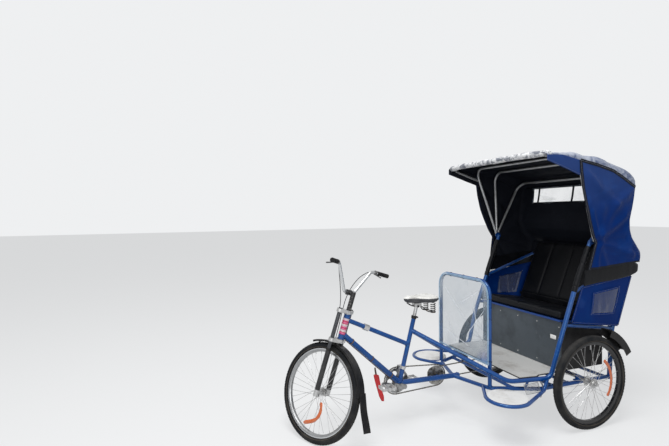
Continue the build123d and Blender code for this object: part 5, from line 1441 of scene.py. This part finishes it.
galvanised = finish("galvanised_tube", {"Metallic": 0.8}, galvanised_look)
dress("hood_bows", galvanised)
bm = bmesh.new()
PIVOT_Y, PIVOT_Z = 1.925, 1.335
for side in (-1, 1):
    bolt(bm, at(side * 0.5172, PIVOT_Y, PIVOT_Z), Vector((side, 0, 0)), 0.008)
keep(bm, "pivot_bolts", plated_steel, "chassis")

# Hood cover: one skin of blue coated cloth over the bows, dark inside. Its upper sides carry a painted sheen,
# and its roof painted sunlight and painted wrinkle shade. It is drawn in at the pivots, where folds fan out,
# and its seams and front edge are bound. A roll lies along its front, painted pale as if sunlit with painted
# shade in its folds, and a tail of the lining hangs behind the backrest.

HOOD_X, WAIST_Z, LOW_X, LOW_Z = 0.5598, 1.560, 0.512, 1.090
SHOULDER, FLAT_SHARE = 0.060, 0.80
ROOF = ((1.435, 1.952), (1.560, 1.960), (1.690, 1.963), (1.850, 1.948), (2.010, 1.925), (2.150, 1.880),
        (2.262, 1.834), (2.300, 1.806), (2.308, 1.786), (2.290, 1.768))
SEAM = ((1.437, 1.929), (1.572, 1.934), (1.735, 1.902), (1.889, 1.874), (2.046, 1.836), (2.137, 1.793),
        (2.268, 1.722))
BACK = ((2.290, 1.768), (2.285, 1.690), (2.272, 1.600), (2.254, 1.530), (2.246, 1.467), (2.272, 1.390),
        (2.333, 1.325), (2.398, 1.268))
FRONT_EDGE = ((1.866, 1.130), (1.888, 1.236), (1.908, 1.322), (1.866, 1.392), (1.830, 1.480), (1.789, 1.593),
              (1.760, 1.705), (1.742, 1.830), (1.735, 1.902))
REAR_EDGE = ((2.372, 1.165), (2.345, 1.235), (2.290, 1.300), (2.244, 1.372), (2.218, 1.458), (2.224, 1.530),
             (2.250, 1.625), (2.268, 1.722))
BOWS_Y = (1.452, 1.720, 1.935, 2.222)
FOLDS = (
    ((1.925, 1.335), (2.240, 1.560), 0.022, 0.014), ((1.960, 1.345), (2.235, 1.470), 0.016, -0.008),
    ((1.920, 1.345), (1.850, 1.540), 0.014, 0.009), ((1.930, 1.350), (1.955, 1.570), 0.024, 0.007),
    ((1.940, 1.350), (2.070, 1.585), 0.022, 0.008), ((1.795, 1.800), (2.075, 1.600), 0.024, 0.012),
    ((2.075, 1.600), (2.250, 1.700), 0.022, 0.012), ((1.765, 1.880), (1.900, 1.700), 0.014, 0.006),
    ((1.930, 1.330), (2.290, 1.225), 0.018, 0.011), ((1.930, 1.320), (2.030, 1.150), 0.018, 0.008),
    ((1.925, 1.320), (1.945, 1.140), 0.013, 0.007), ((1.935, 1.336), (2.200, 1.345), 0.015, -0.006),
)


def on_line(line, share):
    """A point on a run of straight pieces, at a share of its length."""
    lengths = [hypot(b[0] - a[0], b[1] - a[1]) for a, b in zip(line, line[1:])]
    left = share * sum(lengths)
    for length, start, end in zip(lengths, line, line[1:]):
        if left <= length or end == line[-1]:
            part = min(left / length, 1.0)
            return between(start, end, part)
        left -= length


def side_x(z):
    """How far out the hood's side stands at a height."""
    if z >= WAIST_Z:
        return HOOD_X
    return HOOD_X + (LOW_X - HOOD_X) * (WAIST_Z - z) / (WAIST_Z - LOW_Z)


def fan_folds(y, z):
    """Folds of the slack side: long ones from the pivot and between the bows, and small crumples."""
    height = sum(depth * exp(-(off_line(y, z, start, end) / width / 1.6) ** 2)
                 for start, end, width, depth in FOLDS)
    reach = hypot(y - PIVOT_Y, z - PIVOT_Z)
    slack = ripple(y * 4.2, z * 3.1, 7) * 0.006 + ripple(y * 15, z * 12, 3) * 0.0018
    drawn_in = 0.010 * exp(-(reach / 0.045) ** 2)
    return height * min(reach / 0.05, 1.0) + slack * min(reach / 0.2, 1.0) - drawn_in


def side_point(side):
    """The cloth's side between its front edge, its rear edge and the seam under the roof."""
    under_seam = SEAM[2:]
    corners = (FRONT_EDGE[0], REAR_EDGE[0], REAR_EDGE[-1], FRONT_EDGE[-1])

    def place(u, v):
        front, rear, top = on_line(FRONT_EDGE, v), on_line(REAR_EDGE, v), on_line(under_seam, u)
        low = across_four(corners, u, 0)
        flat = across_four(corners, u, v)
        y, z = [front[k] * (1 - u) + rear[k] * u + low[k] * (1 - v) + top[k] * v - flat[k] for k in (0, 1)]
        hold = min(u, 1 - u, 1 - v, 0.12) / 0.12
        return at(side * (side_x(z) + fan_folds(y, z) * hold - 0.001), y, z)
    return place


def round_shoulder(u, middle, edge, half):
    """A point across the hood: flat over the middle, and rounded over the shoulder to the edge line."""
    across = 2 * u - 1
    over = max(abs(across) - FLAT_SHARE, 0) / (1 - FLAT_SHARE)
    reach = (HOOD_X - SHOULDER) * min(abs(across) / FLAT_SHARE, 1) + SHOULDER * sin(over * pi / 2)
    share = 1 - cos(over * pi / 2)
    y, z = [middle[k] + (edge[k] - middle[k]) * share for k in (0, 1)]
    return reach * half / HOOD_X * (1 if across >= 0 else -1), y, z, over


def roof_point(u, v):
    """The roof from the front edge back, rounded down to the seam at both sides."""
    x, y, z, over = round_shoulder(u, on_line(ROOF, v), on_line(SEAM, v), HOOD_X - 0.001)
    near_bow = min(abs(y - bow_y) for bow_y in BOWS_Y)
    slack = 1 - exp(-(near_bow / 0.06) ** 2)
    wave = ripple(x * 4, y * 7, 12) * 0.009 + ripple(x * 13, y * 17, 5) * 0.005
    drop = slack * (0.012 * (1 - (x / HOOD_X) ** 8) + wave) - 0.003 * (1 - slack)
    lean = over * pi / 2
    fade = min((1 - over) * 4, 1) * min(v * 12, (1 - v) * 12, 1)
    out = -drop * fade
    return at(x + out * sin(lean) * (1 if x >= 0 else -1), y, z + out * cos(lean))


def back_point(u, v):
    """The back, from its bottom edge up to the roof's rear end, rounded to the sides' rear edges."""
    middle, edge = on_line(BACK, 1 - v), on_line(REAR_EDGE, v)
    x, y, z, over = round_shoulder(u, middle, edge, HOOD_X - 0.001)
    x *= side_x(z) / HOOD_X
    calm = (1 - over) * min(v, 1 - v, 0.1) / 0.1
    wave = ripple(x * 5, z * 4, 21) * 0.006 + ripple(x * 14, z * 12, 9) * 0.002
    return at(x, y - abs(wave) * calm - 0.0005, z)


def valance_point(side):
    """The triangle of side cloth between the front roll and the main side."""
    def place(u, v):
        top = on_line(SEAM[:3], u)
        low = 1.893 - (top[0] - SEAM[0][0]) * 0.325
        z = min(low, top[1] - 0.002) + (top[1] - min(low, top[1] - 0.002)) * v
        wave = 0.004 * ripple(top[0] * 11, z * 9, side) * (1 - v)
        return at(side * (HOOD_X - 0.001 + wave), top[0], z)
    return place


def hood_look(g):
    dust = g.spread(g.noise(4, detail=5, roughness=0.6), 0.40, 0.75)
    creases = g.noise(5, detail=5, distortion=0.8)
    # Higher up the side the blue is mixed towards a greyer blue: a painted sky sheen on the upper hood.
    high = g.spread(g.parts(g.place())[2] + g.noise(3, detail=3) * 0.3, 1.62, 2.05)
    base = g.mix(dust * 0.4, HOOD_BLUE, HOOD_SUNNED)
    # Crease peaks are painted a brighter blue: a painted highlight on the folds.
    base = g.mix(g.spread(creases, 0.54, 0.74) * 0.4, base, (0.008, 0.060, 0.27))
    return {"Base Color": g.mix(high * 0.7, base, (0.026, 0.055, 0.175)), "Roughness": 0.40 + dust * 0.18,
            "bump": (creases * 0.8 + g.noise(40, detail=5, distortion=0.4) * 0.22
                     + g.noise(900, detail=1) * 0.03, 0.4, 0.004)}


def roof_look(g):
    creases = g.noise(15, detail=6, roughness=0.6, distortion=1.1)
    painted_sun_patches = g.spread(g.noise(6, detail=4, distortion=0.8), 0.38, 0.62)
    # The roof cloth goes from dark blue in its wrinkles to pale grey-blue on their ridges: painted shade and
    # painted highlights.
    base = g.mix(g.spread(creases, 0.36, 0.62), (0.050, 0.075, 0.16), (0.27, 0.30, 0.38))
    # Upward faces are lifted to a pale grey in patches: painted sunlight on the top.
    base = g.mix(painted_sun_patches * g.facing_up() * 0.7, base, (0.48, 0.50, 0.54))
    return {"Base Color": base, "Roughness": 0.46 + creases * 0.15,
            "bump": (creases + g.noise(60, detail=4) * 0.3, 0.6, 0.006)}


def lining_look(g):
    return {"Base Color": g.mix(g.noise(6, detail=4), (0.004, 0.005, 0.009), (0.010, 0.012, 0.018)),
            "Roughness": 0.7 + g.noise(20) * 0.1, "bump": (g.noise(30, detail=4), 0.3, 0.002)}


hood_cloth = finish("hood_cloth", {"Specular IOR Level": 0.05}, hood_look)
roof_cloth = finish("roof_cloth", {"Specular IOR Level": 0.35}, roof_look)
lining = finish("hood_lining", {"Specular IOR Level": 0.12}, lining_look)
WINDOW_X, WINDOW_LOW, WINDOW_HIGH = 0.426, 1.632, 1.764
bm = bmesh.new()
add_grid(bm, 96, 110, roof_point)
for face in bm.faces:
    face.material_index = 2
add_grid(bm, 96, 66, back_point)
for side in (-1, 1):
    add_grid(bm, 90, 110, side_point(side))
    add_grid(bm, 34, 12, valance_point(side))
gone = []
for face in bm.faces:
    middle = face.calc_center_median()
    if abs(middle.x) < WINDOW_X and WINDOW_LOW < middle.z < WINDOW_HIGH and middle.y - FRONT_Y > 2.25:
        gone.append(face)
bmesh.ops.delete(bm, geom=gone, context="FACES")
bmesh.ops.remove_doubles(bm, verts=bm.verts, dist=0.0015)
cover = keep(bm, "hood_skin", [hood_cloth, lining, roof_cloth, lining], "chassis",
             ["hood_cover"], sharp=70)
wall = solid_sheet(cover, 0.0014, -1.0).modifiers["thickness"]
wall.material_offset = 1
wall.material_offset_rim = 0

bm = bmesh.new()
seams = bmesh.new()
for side in (-1, 1):
    out = Vector((side, 0, 0))
    seam = [at(side * (HOOD_X + 0.0006), *on_line(SEAM[2:], step / 60)) for step in range(61)]
    binding(bm, seam, out, 0.022)
    strap = [side_point(side)(0.002, step / 50) + out * 0.0016 for step in range(51)]
    binding(bm, strap, out, 0.026)
    lower = [valance_point(side)(step / 16, 0.0) + out * 0.0008 + Vector((0, 0, 0.006)) for step in range(17)]
    hem = [side_point(side)(step / 40, 0.004) + out * 0.0012 + Vector((0, 0, 0.004)) for step in range(41)]
    binding(bm, hem, out, 0.012)
    for line in (seam, strap, lower):
        stitches(seams, line, out, 0.0010)


def tape_weave_look(g):
    return {"Base Color": g.mix(g.noise(30, detail=4), (0.003, 0.004, 0.007), (0.010, 0.012, 0.018)),
            "Roughness": 0.55 + g.noise(60) * 0.15, "bump": (g.noise(700, detail=2), 0.3, 0.0005)}


dark_tape = finish("dark_tape", {"Specular IOR Level": 0.15}, tape_weave_look)
bindings = keep(bm, "hood_bindings", dark_tape, "chassis")
hood_stitches = keep(seams, "hood_stitches", sewing_thread, "chassis")


def roll_look(g):
    folds = g.noise(20, detail=6, roughness=0.65, distortion=0.9)
    # Pale where the fold noise is high and grey-blue where it is low: painted sunlight on the roll and
    # painted shade in its folds.
    base = g.mix(g.spread(folds, 0.40, 0.56), (0.12, 0.13, 0.16), (0.62, 0.63, 0.64))
    return {"Base Color": base, "Roughness": 0.48 + folds * 0.15,
            "bump": (folds + g.noise(70, detail=4) * 0.3, 0.7, 0.008)}


rings = []
for step in range(121):
    x = -0.558 + 1.116 * step / 120
    outer = max(abs(x) - 0.36, 0) / 0.2
    end = min(1.0, (0.558 - abs(x)) / 0.03 + 0.45)
    fat = 0.0235 + 0.0020 * outer * outer + 0.0060 * ripple(x * 9, 0, 3)
    middle = at(x, 1.4480 + 0.018 * outer ** 2 + 0.003 * ripple(x * 7, 0, 9),
                1.9480 - 0.006 * outer + 0.004 * ripple(x * 9, 0, 1))
    rings.append((middle, Vector((0, fat * end, 0)), Vector((0, 0, fat * 0.92 * end))))
bm = bmesh.new()
sweep(bm, rings, 26)
for vert in bm.verts:
    vert.co += Vector((0, 1, 1)) * (0.0032 * noise.noise(vert.co * 34) + 0.0014 * noise.noise(vert.co * 90))
front_roll = keep(bm, "front_roll", finish("roll_painted_light", {"Sheen Weight": 0.15}, roll_look), "chassis",
                  sharp=80)


def tail_point(u, v):
    x = (2 * u - 1) * 0.505
    aside = min(max((abs(x) - 0.41) / 0.06, 0), 1)
    low = 1.198 - 0.060 * aside
    z = low + (1.272 - low) * v
    y = 2.3785 + 0.44 * (z - 1.245) - 0.030 * aside * aside * (3 - 2 * aside)
    return at(x * (1 - 0.012 * (1 - v) * aside), y + 0.002 * ripple(x * 9, z * 9, 6), z)


bm = bmesh.new()
add_grid(bm, 100, 8, tail_point)
hood_tail = solid_sheet(keep(bm, "hood_tail", lining, "chassis"), 0.0012)

# Post sleeves: padded black vinyl round the upper end of each front post, below the hood's pivot. Two
# ties draw each of them in.

TIED_RINGS = (14, 15, 46, 47)
for side, side_name in ((1, "left"), (-1, "right")):
    line = flowing([at(side * 0.4700, 1.7740, 0.9730), at(side * 0.4700, 1.7900, 1.0150),
                    at(side * 0.4702, 1.8110, 1.0710), at(side * 0.4730, 1.8600, 1.1845),
                    at(side * 0.4756, 1.9065, 1.2920)], 16)
    rings = []
    for number, (middle, across, rise) in enumerate(tube_stations(line, 1.0)):
        end = min(number, len(line) - 1 - number, 3) / 3
        fat = 0.0176 + 0.0022 * end + 0.0016 * noise.noise(middle * 40) - 0.0022 * (number in TIED_RINGS)
        rings.append((middle, across * fat, rise * fat))
    bm = bmesh.new()
    sweep(bm, rings, 24)
    sleeve = keep(bm, f"{side_name}_post_sleeve", black_vinyl, "chassis", sharp=70)

# Rear window: a pane of clear sheet sewn into the back of the hood, bound with dark tape all round, and
# with three dark straps down it, inside and out.


def window_point(u, v):
    z = WINDOW_LOW - 0.008 + (WINDOW_HIGH - WINDOW_LOW + 0.016) * v
    x = (2 * u - 1) * (WINDOW_X + 0.008)
    return at(x, window_y(z) - 0.0022 - 0.002 * abs(ripple(x * 8, z * 8, 2)), z)


def window_y(z):
    """Where the hood's back stands at a height beside the window."""
    return 2.285 + 0.005 * (z - 1.690) / 0.078 if z > 1.690 else 2.285 - 0.013 * (1.690 - z) / 0.090


bm = bmesh.new()
add_grid(bm, 70, 14, window_point)
pane = solid_sheet(keep(bm, "rear_pane", clear_sheet, "chassis", ["hood_window"]), 0.0005)
bm = bmesh.new()
seams = bmesh.new()
behind = Vector((0, 1, 0))
for x in (-0.366, 0.002, 0.366):
    inside = [at(x + 0.012 * step / 8, window_y(1.622 + 0.150 * step / 8) - 0.0045, 1.622 + 0.150 * step / 8)
              for step in range(9)]
    binding(bm, inside, behind, 0.014)
    binding(bm, [point + behind * 0.0062 for point in inside], behind, 0.014)
for z in (WINDOW_LOW - 0.004, WINDOW_HIGH + 0.004):
    line = [at(-0.434 + 0.868 * step / 20, window_y(z) + 0.0012, z) for step in range(21)]
    binding(bm, line, behind, 0.018)
    stitches(seams, line, behind, 0.0010)
for x in (-0.430, 0.430):
    line = [at(x, window_y(WINDOW_LOW + 0.022 * step) + 0.0012, WINDOW_LOW + 0.022 * step)
            for step in range(7)]
    binding(bm, line, behind, 0.018)
    stitches(seams, line, behind, 0.0010)
straps = keep(bm, "window_straps", dark_tape, "chassis")
window_stitches = keep(seams, "window_stitches", sewing_thread, "chassis")

# Cables: the brake cables in black covers from the levers to the fork's crown, and the rear cable in a
# brown cover, clipped under the down tube. A red strap hangs from that cable on a short brown cord.

dress("brake_cables", black_rubber)


def brown_cable_look(g):
    dust = g.spread(g.noise(30, detail=4), 0.4, 0.7)
    return {"Base Color": g.mix(dust * 0.5, (0.075, 0.040, 0.024), (0.15, 0.12, 0.10)),
            "Roughness": 0.5 + dust * 0.2}


dress("frame_cable", finish("brown_cable", {}, brown_cable_look))


def strap_point(u, v):
    narrow = 0.30 if v > 0.80 else 1 - 0.55 * max((0.14 - v) / 0.14, 0)
    y, z = 0.418 + 0.060 * (1 - v) ** 1.2, 0.205 + 0.250 * v
    across = (u - 0.5) * 0.036 * narrow
    curl = 0.004 * sin(v * 7 + u * 2)
    return at(0.008 + curl + across * 0.35, y + across * 0.93, z)


def strap_look(g):
    dust = g.spread(g.noise(22, detail=5), 0.42, 0.72)
    red = g.mix(dust * 0.4, (0.44, 0.008, 0.012), (0.22, 0.035, 0.035))
    cord = g.spread(g.parts(g.place())[2], 0.402, 0.406)
    return {"Base Color": g.mix(cord, red, (0.060, 0.034, 0.022)),
            "Roughness": 0.5 + dust * 0.2, "bump": (g.noise(500, detail=2), 0.3, 0.0005)}


bm = bmesh.new()
add_grid(bm, 8, 40, strap_point)
strap_cloth = finish("red_strap_cloth", {"Sheen Weight": 0.1}, strap_look)
red_strap = solid_sheet(keep(bm, "red_strap", strap_cloth, "chassis"), 0.0016)

# Wire mesh and hanger: a piece of wire mesh with a folded rim, tied under the left main rail, and a bent
# strip of bare steel behind it.

MESH_X, MESH_Y, MESH_Z = 0.450, (1.338, 1.464), (0.288, 0.3585)


def mesh_spot(y, z):
    return at(MESH_X + 0.004 * sin((y - MESH_Y[0]) * 30), y + (MESH_Z[1] - z) * 0.35, z)


bm = bmesh.new()
for number in range(12):
    y = MESH_Y[0] + (MESH_Y[1] - MESH_Y[0]) * number / 11
    thick = 0.0022 if number in (0, 11) else 0.0010
    rod(bm, mesh_spot(y, MESH_Z[0]), mesh_spot(y, MESH_Z[1]), thick, thick, 8)
for number in range(8):
    z = MESH_Z[0] + (MESH_Z[1] - MESH_Z[0]) * number / 7
    thick = 0.0022 if number in (0, 7) else 0.0010
    run = [mesh_spot(MESH_Y[0] + (MESH_Y[1] - MESH_Y[0]) * step / 12, z) for step in range(13)]
    sweep(bm, tube_stations(run, thick), 8)
keep(bm, "wire_mesh", galvanised, "chassis")
bm = bmesh.new()
strip = flowing([at(0.452, 1.484, 0.3600), at(0.453, 1.500, 0.335), at(0.453, 1.506, 0.300),
                 at(0.452, 1.483, 0.249)], 8)
sweep(bm, tube_stations(strip, 0.0065, 0.26, Vector((1, 0, 0))), 12)
keep(bm, "steel_hanger", galvanised, "chassis")
